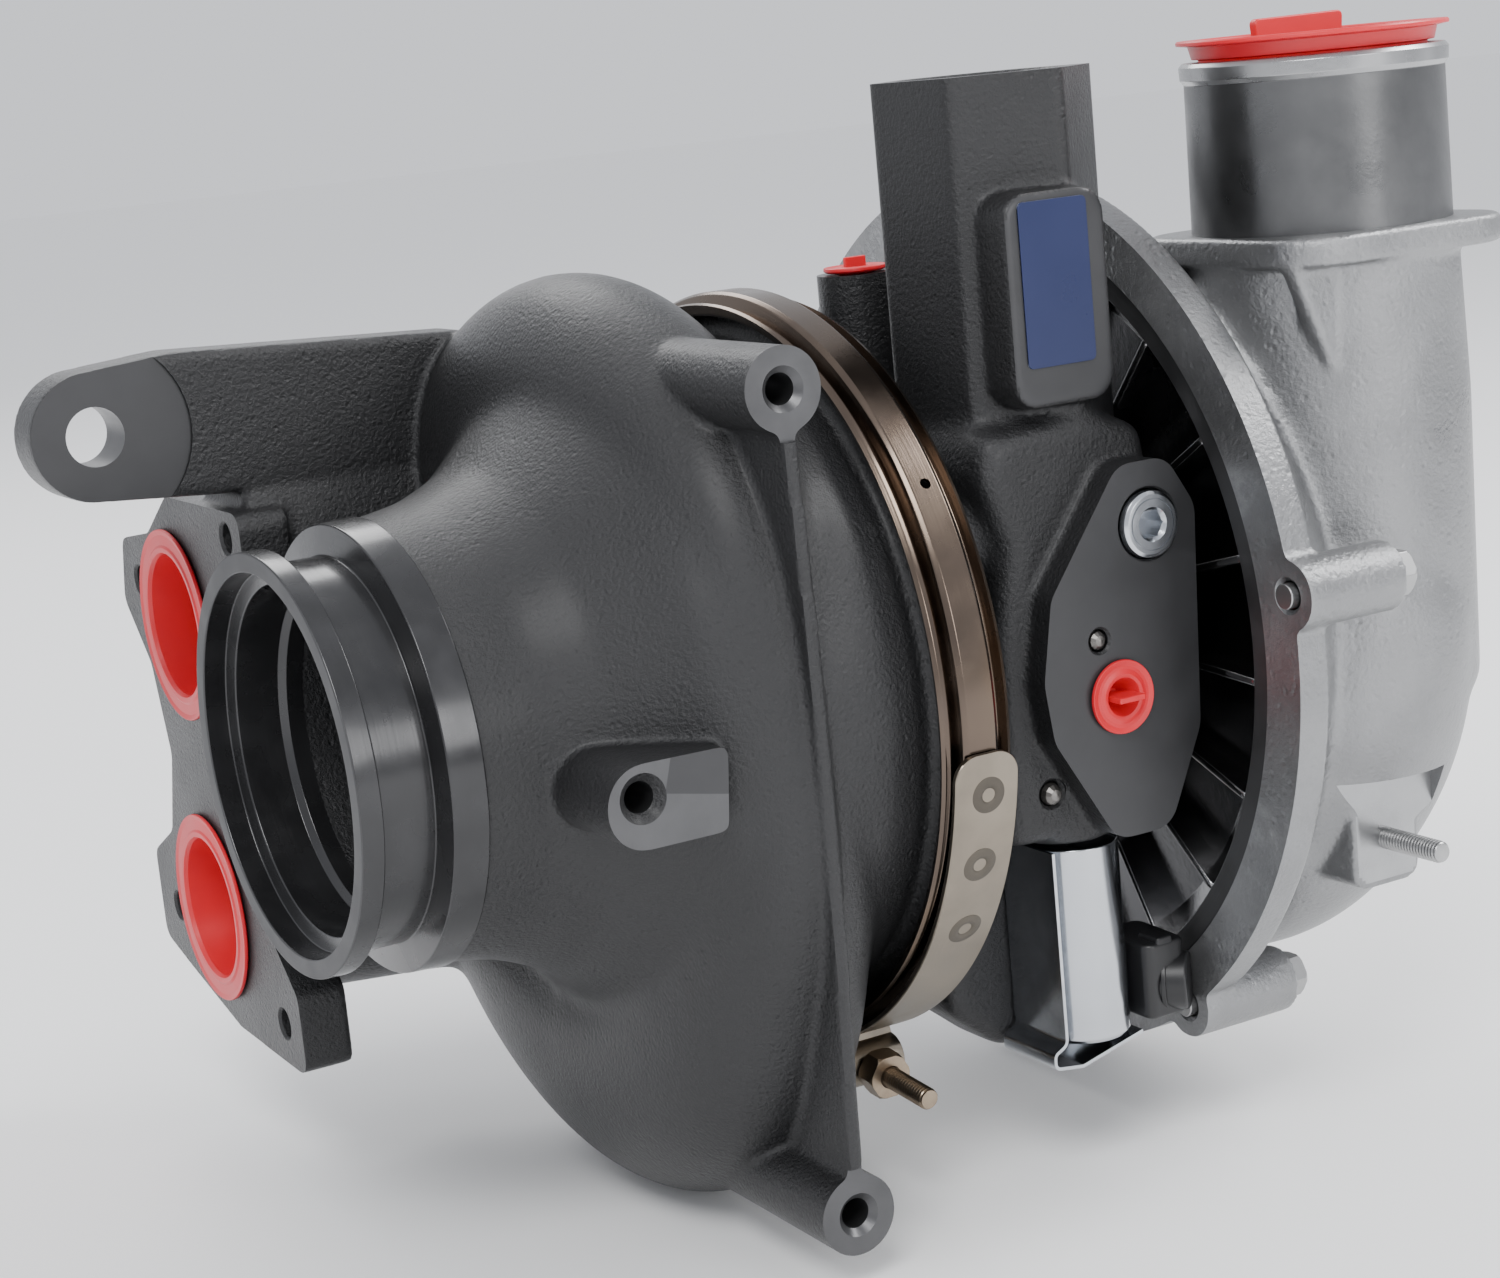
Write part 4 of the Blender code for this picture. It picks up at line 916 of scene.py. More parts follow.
def turbine_casting():
    look = "coated_iron"
    voxel = bpy.context.scene.turbo_sizes.voxel
    flare = [(-136, 0), (-136, 58.4), (-126, 59.6), (-112, 62), (-98, 68), (-86, 78), (-76, 88), (-62, 94),
             (-34, 96),
             (-24.5, 93.4), (-16, 93.4), (-16, 0)]
    forms = [turned("flare", flare, look, ease=5), scroll("scroll", lambda d: turbine_reach(d) - 0.4, 52,
                                                          turbine_width, SCROLL_X, look),
             *port_legs("duct", 31, FLANGE_X + 6, look)]
    big = fuse("forms", forms, look, 0.0021, 22)
    plate = [(64, 57), (125, 57), (146, 44), (172, 40), (178, 20), (160, 2), (152, -26), (162, -52),
             (182, -62),
             (182, -90), (160, -96), (120, -106), (66, -108), (66, -84), (92, -60), (92, 4), (64, 34)]
    arm = [(LUG[0], LUG[1] - 18), (-140, 62), (-66, 62), (-62, 98), (-150, 103), (LUG[0], LUG[1] + 18)]
    details = [big, slab("plate", eased(plate[::-1], 5.0), FLANGE_X - 1.5, FLANGE_X + 15, look, ease=0.8),
               slab("arm", eased(arm, [0, 12, 0, 0, 12, 0]), 70.8, 89.2, look, "XZ", 1.5),
               bar("eye", (LUG[0], 71, LUG[1]), (LUG[0], 89, LUG[1]), 18, look, 1.0),
               slab("web", [(66, 40), (110, 40), (100, 76), (74, 76)], FLANGE_X + 5, -70, look, ease=2)]
    for z, depth in zip(BOSS_Z, (8.0, 30.0)):
        details.append(bar("boss", (SCROLL_X, BOSS_Y - SPARE, z), (SCROLL_X, depth, z), 10.8, look, 0))
    high, low = BOSS_Z
    rib = [(BOSS_Y - 1, low), (-60, low), (-60, high), (BOSS_Y - 1, high), (-96.6, 45), (-97.8, 0),
           (-97.0, -60)]
    details.append(slab("rib", rib, SCROLL_X - 2.1, SCROLL_X + 2.1, look))
    tab = eased([(-112.3, -17.3), (-80, -17.3), (-78, 3.8), (-112.3, 4.3)], [10.4, 2, 2, 10.4], 8)
    details.append(slab("tab", tab, -92 - SPARE, -60, look, "XZ"))
    details.append(turned("lip", [(-30, 0), (-30, 92.6), (-20, 92.9), (-15.4, 100.9), (-12.8, 100.9),
                                  (-12.8, 0)], look))
    casting = fuse("turbine_casting", details, look, voxel, 5)
    bore = [(-8, 0), (-8, 80), (-38, 80), (-38, 58), (-41, 46.5), (-50, 39), (-70, 37.8), (-95, 41),
            (-118, 43),
            (-140, 44), (-140, 0)]
    carve(casting, turned("bore", bore, look, sides=120), *port_legs("port", 23.5, FLANGE_X - 4, look))
    for z in BOSS_Z:
        carve(casting, bar("face", (SCROLL_X, -110, z), (SCROLL_X, BOSS_Y, z), 13, look, 0),
              tapped_hole("tap", (SCROLL_X, BOSS_Y, z), (0, 1, 0), 4.0, 22, look, 1.8))
    carve(casting, box("face", (-120, -110, -30), (-74, -92, 12)),
          tapped_hole("tap", (-102.5, -92, -4.5), (0, 1, 0), 4.0, 18, look, 2.4),
          box("face", (-160, 55, -116), (FLANGE_X, 190, 59)),
          bar("spot", (LUG[0], 60, LUG[1]), (LUG[0], 72, LUG[1]), 27, look, 0),
          bar("spot", (LUG[0], 88, LUG[1]), (LUG[0], 100, LUG[1]), 27, look, 0),
          bar("eye", (LUG[0], 60, LUG[1]), (LUG[0], 100, LUG[1]), 8.2, look, 0))
    for y, z in FLANGE_HOLES:
        carve(casting, tapped_hole("hole", (FLANGE_X, y, z), (1, 0, 0), 4.3, 20, look, 0.8))
    for z in BOSS_Z:
        paint(casting, "machined_iron",
              lambda c, n: (abs(c[1] - BOSS_Y) < 0.1) & (near(c, SCROLL_X, z) < 12))
        paint(casting, "machined_iron", lambda c, n: (c[1] < -70) & (near(c, SCROLL_X, z) < 5.2))
    paint(casting, "milled_face",
          lambda c, n: (n[1] < -0.97) & (c[0] < -74) & (abs(c[1] + 92) < 0.1) & (abs(c[2]) < 30))
    paint(casting, "machined_iron", lambda c, n: (c[1] < -76) & (near(c, -102.5, -4.5) < 4.9))
    paint(casting, "milled_face", lambda c, n: (abs(n[1]) > 0.97) & (c[0] < -145)
          & ((abs(c[1] - 72) < 0.1) | (abs(c[1] - 88) < 0.1)))
    paint(casting, "machined_iron", lambda c, n: near(c, *LUG) < 8.3)
    smooth(casting, 38)
    return casting


class TURBO_OT_turbine_housing(Operator):
    """Cast turbine housing with its scroll, inlet flange, lifting arm and tapped bosses"""

    bl_idname = "turbo.turbine_housing"
    bl_label = "Turbine Housing"

    def execute(self, context):
        finish_piece(turbine_casting(), "housing", "cast_iron", "turbine_housing")
        ring = [(OUTLET_X, 50.7), (OUTLET_X, 56.0), (-154.9, 56.0), (-153.6, 51.6), (-139.2, 51.6),
                (-138.2, 59.7),
                (-128.5, 60.2), (-128.5, 44), (-140, 43.6), (-141.6, 45.5), (-153.5, 46.4), (-154.6, 50.6)]
        outlet = turned("outlet_ring", ring, "turned_iron", sides=144, ease=0.5, sharp=40)
        paint(outlet, "bare_ring", lambda c, n: (n[0] < -0.7) & (c[0] < -160.2))
        finish_piece(outlet, "housing", "cast_iron")
        return {"FINISHED"}


# ---------------------------------------------------------------- centre housing


def hexagon(centre, side, turn):
    return [(centre[0] + side * math.sin(math.radians(turn + 30 + 60 * k)),
             centre[1] - side * math.cos(math.radians(turn + 30 + 60 * k))) for k in range(6)]


def centre_casting():
    look = "coated_iron"
    voxel = bpy.context.scene.turbo_sizes.voxel
    neck = [(-6, 0), (-6, 94), (-5.2, 93), (-1, 88), (4, 70), (10, 52), (20, 44), (44, 44), (54, 50),
            (58, 66),
            (68.2, 66), (68.2, 0)]
    flank = [(10, -46), (38, -46), (56, -30), (68, 20), (64, 62), (46, 68), (12, 66), (9, 54), (16, 34),
             (11, 8)]
    foot = [(4, -82), (7, -98), (24, -112), (40, -108), (42, -40), (8, -40)]
    tower = eased(hexagon(TOWER, TOWER_SIDE, TOWER_TURN), 3.0, 3)
    forms = [turned("neck", neck, look, ease=3), slab("flank", eased(flank, 5), -81, -20, look, "XZ", 6),
             slab("foot", eased(foot, 3), -50, -24, look, "XZ", 3),
             slab("stem", tower, 10, 110, look, "XY"),
             bar("crank_boss", (-6, *CRANK), (22, *CRANK), 10, look),
             bar("cylinder_boss", (6.5, -62, 38), (24, -62, 38), 11, look),
             bar("valve_boss", (40, -64, -48.6), (40, -64, -10), 17, look)]
    big = fuse("forms", forms, look, 0.0018, 16)
    plate = [(38, -46), (56, -46), (68, -20), (70.6, 40), (62, 54), (46, 54), (22, 22), (18, 0), (20, -16)]
    pad = eased([(20.2, 71), (52.2, 71), (52.2, 126.8), (20.2, 126.8)], 7)
    details = [big, slab("tower", tower, 20, TOWER_TOP + SPARE, look, "XY"),
               slab("plate", eased(plate, 8, 8), PAD_Y - SPARE, -66, look, "XZ"),
               slab("pad", pad, -84.2, -50, look, "XZ", 1.0),
               bar("oil_post", (27, 0, 20), (27, 0, 105 + SPARE), 11, look, 0),
               turned("lip", [(-16, 0), (-16, 100.9), (-9.8, 100.9), (-5, 92.8), (0, 80), (0, 0)], look)]
    casting = fuse("centre_casting", details, look, voxel, 4)
    bore = [(-20, 0), (-20, 78), (-8, 78), (-6, 60), (-4, 36), (-4, 10.6), (50, 10.6), (50, 24), (72, 24),
            (72, 0)]
    carve(casting, box("face", (-20, -110, -60), (100, PAD_Y, 160)),
          box("face", (0, -95, TOWER_TOP), (85, -10, 170)),
          bar("face", (27, 0, 105), (27, 0, 115), 15, look, 0),
          box("face", (20, -82, -60), (56, -52, -48.9)),
          turned("bore", bore, look, sides=120), bar("ring_face", (-22, 0, 0), (JOINT_X, 0, 0), 110, look,
                                                     0),
          tapped_hole("drain", (*TOWER, TOWER_TOP), (0, 0, -1), 21, 120, look, 1.5),
          tapped_hole("feed", (27, 0, 105), (0, 0, -1), 5, 80, look, 0.8),
          bar("crank_bore", (-16, *CRANK), (54, *CRANK), 7.2, look, 0),
          bar("piston_bore", (44, -72, -60), (44, -72, 34), 8.4, look, 0),
          tapped_hole("plug", PLUG_AT, (0, 1, 0), 9.6, 16, look, 0.5),
          tapped_hole("port", (42, PAD_Y, -7.3), (0, 1, 0), 6.5, 8, look, 0.8),
          tapped_hole("ball", (36.6, PAD_Y, 8.6), (0, 1, 0), 3.1, 5, look, 0.7),
          tapped_hole("ball", (24, -81, -32), (0, 1, 0), 3.4, 5, look, 0.9))
    paint(casting, "milled_face", lambda c, n: (n[1] < -0.97) & (abs(c[1] - PAD_Y) < 0.1))
    paint(casting, "milled_face", lambda c, n: (n[1] < -0.9) & (abs(c[1] + 84) < 0.4) & (c[2] > 60))
    paint(casting, "machined_iron",
          lambda c, n: (n[2] > 0.97) & ((abs(c[2] - TOWER_TOP) < 0.1) | (abs(c[2] - 105) < 0.1)))
    smooth(casting, 38)
    return casting


class TURBO_OT_centre_housing(Operator):
    """Cast centre housing with its oil drain tower, label pad, oil post and actuator block"""

    bl_idname = "turbo.centre_housing"
    bl_label = "Centre Housing"

    def execute(self, context):
        finish_piece(centre_casting(), "housing", "cast_iron", "centre_housing")
        return {"FINISHED"}


class TURBO_OT_backplate(Operator):
    """Dished backplate with raised radial ribs and its seal groove"""

    bl_idname = "turbo.backplate"
    bl_label = "Backplate"

    def execute(self, context):
        look = "dark_backplate"
        dish = [(69.0, 12.4), (69.0, 60), (72, 66), (80, 74), (81, 100), (79, 108), (72, 108.5),
                (72, 115.0),
                (77.0, 115.0), (77.0, 112.8), (79.4, 112.8), (79.4, 115.0), (84, 115.0), (84, 46),
                (78.6, 46),
                (78.6, 12.4)]
        pieces = [turned("dish", dish, look, sides=160, ease=0.8)]
        count = context.scene.turbo_sizes.ribs
        for k in range(count):
            degrees = 360 * k / count + 4
            radial, way = on_circle(1, degrees), on_circle(1, degrees + 90)
            crest = eased([(82, 56), (69.3, 58), (69.3, 64), (73.4, 76), (73.6, 108), (82.0, 110)], 3, 5)
            points = [radial * r + way * s + Vector((x, 0, 0)) for s in (-1.15, 1.15) for x, r in crest]
            size = len(crest)
            faces = [list(range(size)), list(range(2 * size - 1, size - 1, -1))]
            faces += [[i, (i + 1) % size, size + (i + 1) % size, size + i] for i in range(size)]
            pieces.append(bevel(mesh_object("rib", points, faces, look), 0.8))
        plate = merge("ribbed_backplate", pieces)
        paint(plate, "bare_ring", lambda c, n: (c[1] ** 2 + c[2] ** 2 > 108.8 ** 2) & (c[0] < 76))
        smooth(plate, 40)
        finish_piece(plate, "housing", "cast_iron", "backplate")
        return {"FINISHED"}


# ---------------------------------------------------------------- compressor cover

COVER_REACH = ((180, 119), (225, 117), (270, 112), (315, 108), (0, 104), (45, 100), (90, 96), (135, 98))


def cover_reach(degrees):
    return periodic(COVER_REACH, degrees)


def cover_width(degrees):
    return 0.46 * (cover_reach(degrees) - 46)


def cover_casting():
    look = "tumbled_aluminium"
    voxel = bpy.context.scene.turbo_sizes.voxel
    x, y = DUCT
    skin = [(76, 0), (76, 122), (83, 119), (96, 112), (118, 96), (150, 70), (165, 52), (188, 51), (190, 54),
            (197.6, 54), (197.6, 0)]
    duct = [(-22, 0), (-22, 37), (60, 38), (104, 36.6), (104, 0)]
    forms = [turned("skin", skin, look, ease=3), scroll("scroll", cover_reach, 58, cover_width, 124.0,
                                                        look),
             turned("duct", duct, look, (x, y, 0), (0, 0, 1))]
    big = fuse("forms", forms, look, 0.0018, 12)
    collar = eased([(x - 38, y - 38), (x + 39, y - 38), (x + 39, y + 39), (x - 38, y + 39)], 16, 6)
    pad = eased([(107, -74), (131, -74), (131, -47), (107, -47)], 5)
    details = [big, slab("collar", collar, 99.5, 107.5, look, "XY", 1.5),
               turned("rim", [(66, 0), (66, 128.6), (81, 128.6), (84, 118), (84, 0)], look, ease=1.0,
                      sides=160),
               slab("pad", pad, -104, -80, look, "XZ", 1.2),
               slab("gusset", [(x + 20, 60), (x + 42, 104), (x + 20, 104)], y - 3, y + 3, look, "XZ", 1.5),
               slab("gusset", [(x - 20, 60), (x - 37, 101), (x - 20, 101)], y - 30, y - 24, look, "XZ",
                    1.5)]
    for degrees in COVER_BOLTS:
        at = on_circle(COVER_BOLT_R, degrees)
        details.append(bar("bolt_boss", at + Vector((69.6, 0, 0)), at + Vector((104, 0, 0)), 9.5, look, 0))
    casting = fuse("cover_casting", details, look, voxel, 4)
    bore = [(60, 0), (60, 115.4), (84.4, 115.4), (84.4, 62), (89.5, 62), (90.4, 46), (97, 39), (108, 33.5),
            (124, 31.6), (150, 33), (168, 44), (198, 46), (198, 0)]
    carve(casting, turned("bore", bore, look, sides=160),
          bar("face", (60, 0, 0), (70.9, 0, 0), 150, look, 0),
          bar("end", (196, 0, 0), (205, 0, 0), 70, look, 0),
          tapped_hole("duct_bore", (x, y, 108), (0, 0, -1), 31.5, 100, look, 0.1),
          box("face", (100, -112, -80), (136, -104, -42)))
    for degrees in COVER_BOLTS:
        at = on_circle(COVER_BOLT_R, degrees)
        carve(casting, bar("seat", at + Vector((103, 0, 0)), at + Vector((112, 0, 0)), 9.2, look, 0),
              tapped_hole("bolt_way", at + Vector((70.9, 0, 0)), (1, 0, 0), 3.9, 40, look, 1.2))
    paint(casting, "turned_aluminium",
          lambda c, n: (n[0] > 0.97) & ((abs(c[0] - 103) < 0.1) | (c[0] > 195.8)))
    paint(casting, "turned_aluminium", lambda c, n: (n[1] < -0.97) & (abs(c[1] + 104) < 0.1))
    smooth(casting, 38)
    return casting


class TURBO_OT_compressor_cover(Operator):
    """Cast compressor cover with its outlet duct, collar, beaded spigot and bolt bosses"""

    bl_idname = "turbo.compressor_cover"
    bl_label = "Compressor Cover"

    def execute(self, context):
        finish_piece(cover_casting(), "housing", "cast_aluminium", "compressor_cover")
        x, y = DUCT
        tube = [(103, 31.5), (103, 35.4), (148, 35.0), (149.4, 36.0), (152.8, 36.2), (DUCT_TOP, 35.2),
                (DUCT_TOP, 31.5)]
        spigot = turned("outlet_spigot", tube, "stained_aluminium", (x, y, 0), (0, 0, 1), 144, 0.5, 40)
        paint(spigot, "turned_aluminium", lambda c, n: c[2] > 148.2)
        finish_piece(spigot, "housing", "cast_aluminium")
        for k, degrees in enumerate(COVER_BOLTS):
            at = on_circle(COVER_BOLT_R, degrees)
            seat = at + Vector((103.3, 0, 0))
            washer = turned("washer", [(0, 3), (0, 7.6), (1.4, 7.6), (1.4, 3)], "bare_steel", seat,
                            (1, 0, 0), 48, 0.3)
            shank = bar("shank", at + Vector((69.5, 0, 0)), seat, 3.4, "bare_steel", 0.4)
            head = hex_head("head", seat + Vector((0.8, 0, 0)), (1, 0, 0), 11.6, 5.6, "bare_steel")
            bolt = merge(f"cover_bolt_full_{k + 1}", [washer, shank, head])
            smooth(bolt)
            finish_piece(bolt, "housing", "steel", f"cover_bolt_{k + 1}")
        pitch = context.scene.turbo_sizes.pitch / MM
        stud = threaded("threaded_stud", (119, -90.6, -60.5), (0, -1, 0), 35.3, 3.1, pitch, "bare_steel")
        finish_piece(stud, "housing", "steel", "mounting_stud")
        return {"FINISHED"}


# ---------------------------------------------------------------- clamp


def clamp_line():
    """Foot point of the clamp bolt's line and its direction towards the nut."""
    return on_circle(107.8, -86.0, BAND_MID), -on_circle(1, 4.0)


def strap(name, start, end, rounded_end, look="strap_steel"):
    """Strap on the band's crown whose free end has rounded corners; half is its half width."""
    low, thick, half, corner = BAND_R + 0.45, 1.4, 9.6, 6.5
    steps = 90
    points, faces = [], []
    for i in range(steps + 1):
        t = (i / steps) ** 2 if rounded_end else i / steps
        degrees = start + (end - start) * t
        reach = math.radians(abs(degrees - start)) * low
        wide = half
        if rounded_end and reach < corner:
            wide = half - corner + math.sqrt(max(0.0, corner ** 2 - (corner - reach) ** 2))
        for x, r in ((-wide, low), (-wide, low + thick - 0.25), (-wide + 0.25, low + thick),
                     (wide - 0.25, low + thick), (wide, low + thick - 0.25), (wide, low)):
            points.append(on_circle(r, degrees, BAND_MID + x))
    for i in range(steps):
        for k in range(6):
            m = (k + 1) % 6
            faces.append([6 * i + k, 6 * i + m, 6 * (i + 1) + m, 6 * (i + 1) + k])
    faces += [list(range(6)), list(range(6 * steps + 5, 6 * steps - 1, -1))]
    return mesh_object(name, points, faces, look)


def strap_loop(centre, way, low):
    """The strap's end rolled round its pin, with the slot that lets the bolt through."""
    leg = Vector((0, centre.y, centre.z)).normalized()
    tube = [(-9.6, 4.9), (-9.6, 6.3), (9.6, 6.3), (9.6, 4.9)]
    loop = turned("loop", tube, "strap_steel", centre, (1, 0, 0), 64, 0.25)
    side = Vector((1, 0, 0)).cross(leg)
    root, reach = leg * (low + 0.2) + Vector((centre.x, 0, 0)), centre - leg * 5.2
    axle = Vector((9.6, 0, 0))
    corners = [place + side * s + axle * e for place in (root, reach)
               for s, e in ((-1.8, -1), (1.8, -1), (1.8, 1), (-1.8, 1))]
    sides = [[0, 1, 2, 3], [7, 6, 5, 4]] + [[k, (k + 1) % 4, 4 + (k + 1) % 4, 4 + k] for k in range(4)]
    wall = mesh_object("wall", corners, sides, "strap_steel")
    return [carve(loop, bar("way", centre - way * 16, centre + way * 16, 4.2, "strap_steel", 0)), wall]


class TURBO_OT_clamp(Operator):
    """V-band clamp: rolled band, two straps, trunnion, threaded T-bolt and nut"""

    bl_idname = "turbo.clamp"
    bl_label = "Clamp Band"

    def execute(self, context):
        thick = context.scene.turbo_sizes.bead / MM
        half = [(4.0, BAND_R), (5.2, 104.2), (6.6, 100.4), (8.2, 99.4), (9.5, 102.4)]
        line = [(-a, b) for a, b in half[::-1]] + half
        smooth_line = eased(line, 0.9, 5, closed=False)
        section = [(BAND_MID + a, b) for a, b in sheet_section(smooth_line, thick)]
        band = swept_arc("rolled_band", section, -72, 258, "tinted_stainless", 220)
        hole = on_circle(1, 146.5)
        carve(band, bar("hole", hole * 95 + Vector((-12, 0, 0)), hole * 112 + Vector((-12, 0, 0)), 1.5,
                        "tinted_stainless", 0))
        smooth(band, 50)
        finish_piece(band, "housing", "tinted_steel", "v_band")
        foot, way = clamp_line()
        trunnion, hook = foot + way * 40, foot - way * 2
        welds = []
        for degrees, x in ((-169.0, -12.0), (-158.2, -12.6), (-146.4, -12.1)):
            out = on_circle(1, degrees)
            ring = [(-0.2, 1.7), (0.1, 1.9), (0.42, 2.5), (0.5, 3.2), (0.36, 4.2), (0.1, 4.9), (-0.2, 5.0)]
            welds.append(turned("weld", ring, "weld_scorch", out * (BAND_R + 1.75) + Vector((x, 0, 0)), out,
                                48))
        front = merge("strap_front", [strap("strap", -175, -103, True), *strap_loop(trunnion, way, BAND_R),
                                      *welds])
        finish_piece(front, "housing", "steel", "clamp_strap_front")
        rear = merge("strap_rear", [strap("strap", -30, -89, True), *strap_loop(hook, way, BAND_R)])
        finish_piece(rear, "housing", "steel", "clamp_strap_rear")
        pitch = context.scene.turbo_sizes.pitch / MM
        axle = Vector((9.4, 0, 0))
        shank = bar("shank", hook, foot + way * 34, 2.9, "bronze_plate", 0.2)
        pin = bar("pin", hook - axle, hook + axle, 4.5, "bronze_plate", 0.6)
        screw = threaded("screw", foot + way * 30, way, 43, 3.1, pitch, "bronze_plate")
        finish_piece(merge("threaded_t_bolt", [shank, pin, screw]), "housing", "tinted_steel",
                     "clamp_t_bolt")
        nut = hex_head("flanged_nut", foot + way * 46.8, way, 11.8, 7, "bronze_plate", False)
        carve(nut, bar("bore", foot + way * 40, foot + way * 60, 3.3, "bronze_plate", 0))
        smooth(nut)
        finish_piece(nut, "housing", "tinted_steel", "clamp_nut")
        dress("bare_steel", "clamp_trunnion")
        return {"FINISHED"}


# ---------------------------------------------------------------- valve and fittings


class TURBO_OT_valve(Operator):
    """Solenoid valve: plated can, folded bracket and moulded connector"""

    bl_idname = "turbo.valve"
    bl_label = "Control Valve"

    def execute(self, context):
        x, y = 40.0, -66.0
        profile = [(-50, 4.6), (-50, 9.6), (-50.6, 12.4), (-104.8, 12.4), (-106, 11.4), (-106, 6.0),
                   (-84, 4.6)]
        can = turned("valve_can", profile, "zinc_plate", (x, y, 0), (0, 0, 1), 96, 0.5)
        finish_piece(can, "housing", "bright_steel", "solenoid_can")
        line = eased([(-13.2, -50.6), (-13.2, -104.5), (-17.4, -106.6), (-17.6, -111.2), (-8, -112.6),
                      (13, -107.6)], 2.2, 6,
                     closed=False)
        section = [(x + a, z) for a, z in sheet_section(line, -0.9)]
        bracket = slab("folded_bracket", section, y - 8.8, y + 15.2, "zinc_plate", "XZ")
        finish_piece(bracket, "housing", "steel", "solenoid_bracket")
        body = slab("body", eased([(52.9, -79), (66.5, -79), (67.5, -56), (52.9, -56)], 3), -103.6, -82,
                    "moulded_black",
                    "XY", 1.2)
        collar = bar("collar", (61, -72, -95), (67.4, -78.4, -95), 8.2, "moulded_black", 0.8)
        ring = turned("ring", [(0, 7), (0, 8.9), (1.4, 8.9), (1.4, 7)], "moulded_black", (62.5, -73.5, -95),
                      (1, -1, 0), 64,
                      0.3)
        latch = slab("latch", [(55, -92), (64, -92), (62, -80.6), (57, -80.6)], -78.8, -70, "moulded_black",
                     "XZ", 0.7)
        finish_piece(merge("connector_shell", [body, collar, ring, latch]), "housing", "black_plastic",
                     "solenoid_connector")
        return {"FINISHED"}


class TURBO_OT_fittings(Operator):
    """Hexagon socket plug, ball plugs, label plate and the rotor's own finishes"""

    bl_idname = "turbo.fittings"
    bl_label = "Fittings"

    def execute(self, context):
        plug = [(-1.9, 0), (-1.9, 8.0), (-1.3, 8.9), (0.4, 9.2), (15, 9.2), (15, 0)]
        body = turned("socket_plug", plug, "zinc_plate", PLUG_AT, (0, 1, 0), 96, 0.3)
        groove = turned("groove", [(-3, 6.6), (-3, 7.1), (-1.5, 6.9), (-1.5, 6.7)], "zinc_plate",
                        PLUG_AT,
                        (0, 1, 0), 96)
        carve(body, turned("socket", [(0, 0), (0, 4.1), (9, 4.1), (9, 0)], "zinc_plate",
                           (55, PAD_Y - 3, 37), (0, 1, 0), 6),
              turned("bevel", [(-1, 0), (-1, 5.4), (1.3, 3.8), (1.3, 0)], "zinc_plate", (55, PAD_Y - 2, 37),
                     (0, 1, 0), 48),
              groove)
        smooth(body, 30)
        finish_piece(body, "housing", "bright_steel", "hex_socket_plug")
        x0, x1, z0, z1 = 24.4, 46.0, 81.6, 124.4
        film = slab("label_film", eased([(x0, z0), (x1, z0), (x1, z1), (x0, z1)], 1.6), -84.7, -84.1,
                    "label_film", "XZ",
                    0.12)
        border = slab("border", eased([(x0, z0), (x1, z0), (x1, z1), (x0, z1)], 1.6), -84.5, -84.1,
                      "label_edge", "XZ")
        label = merge("label", [film, border])
        finish_piece(label, "housing", "blue_label", "label_plate")
        # The ball plugs are steel; the dark alloy finish on them is painted shade for their recesses.
        dress("turbine_alloy_and_painted_shade", "ball_plug_upper", "ball_plug_lower")
        dress("bare_steel", "compressor_nut", "backplate_bolt_1",
              "backplate_bolt_2", "backplate_bolt_3", "thrust_collar", "bearing_spacer", "actuator_piston",
              "crank_shaft", "unison_ring", "nozzle_ring", "heat_shield", "solenoid_spool",
              "seal_ring_turbine",
              "seal_ring_compressor")
        dress("turbine_alloy_and_painted_shade", "turbine_wheel", *(f"nozzle_vane_{k:02d}" for k in range(1, 12)))
        dress("turned_aluminium", "compressor_wheel")
        dress("bearing_bronze", "journal_bearing_turbine", "journal_bearing_compressor", "thrust_bearing")
        dress("black_rubber", "backplate_seal")
        return {"FINISHED"}


# ---------------------------------------------------------------- caps


def cup(name, centre, direction, lip, plug, depth, rolled=0.9):
    """A soft push-in cap: a lip with a rolled edge and an open cup with a stepped floor."""
    profile = [(-0.1, lip), (0.9, lip + 0.1), (1.4, lip - 0.6), (1.4, plug + 0.6), (2.4, plug),
               (depth - 1, plug - 1.2),
               (depth, plug - 2.2), (depth, 0), (depth - 1.1, 0), (depth - 1.1, plug - 4.0),
               (depth - 2.4, plug - 3.0),
               (1.2, plug - 1.2), (0.0, plug - 0.6), (-0.1, plug + rolled), (0.3, plug + 1.6),
               (0.3, lip - 1.6)]
    return turned(name, profile, "red_cap", centre, direction, 120, 0.25)


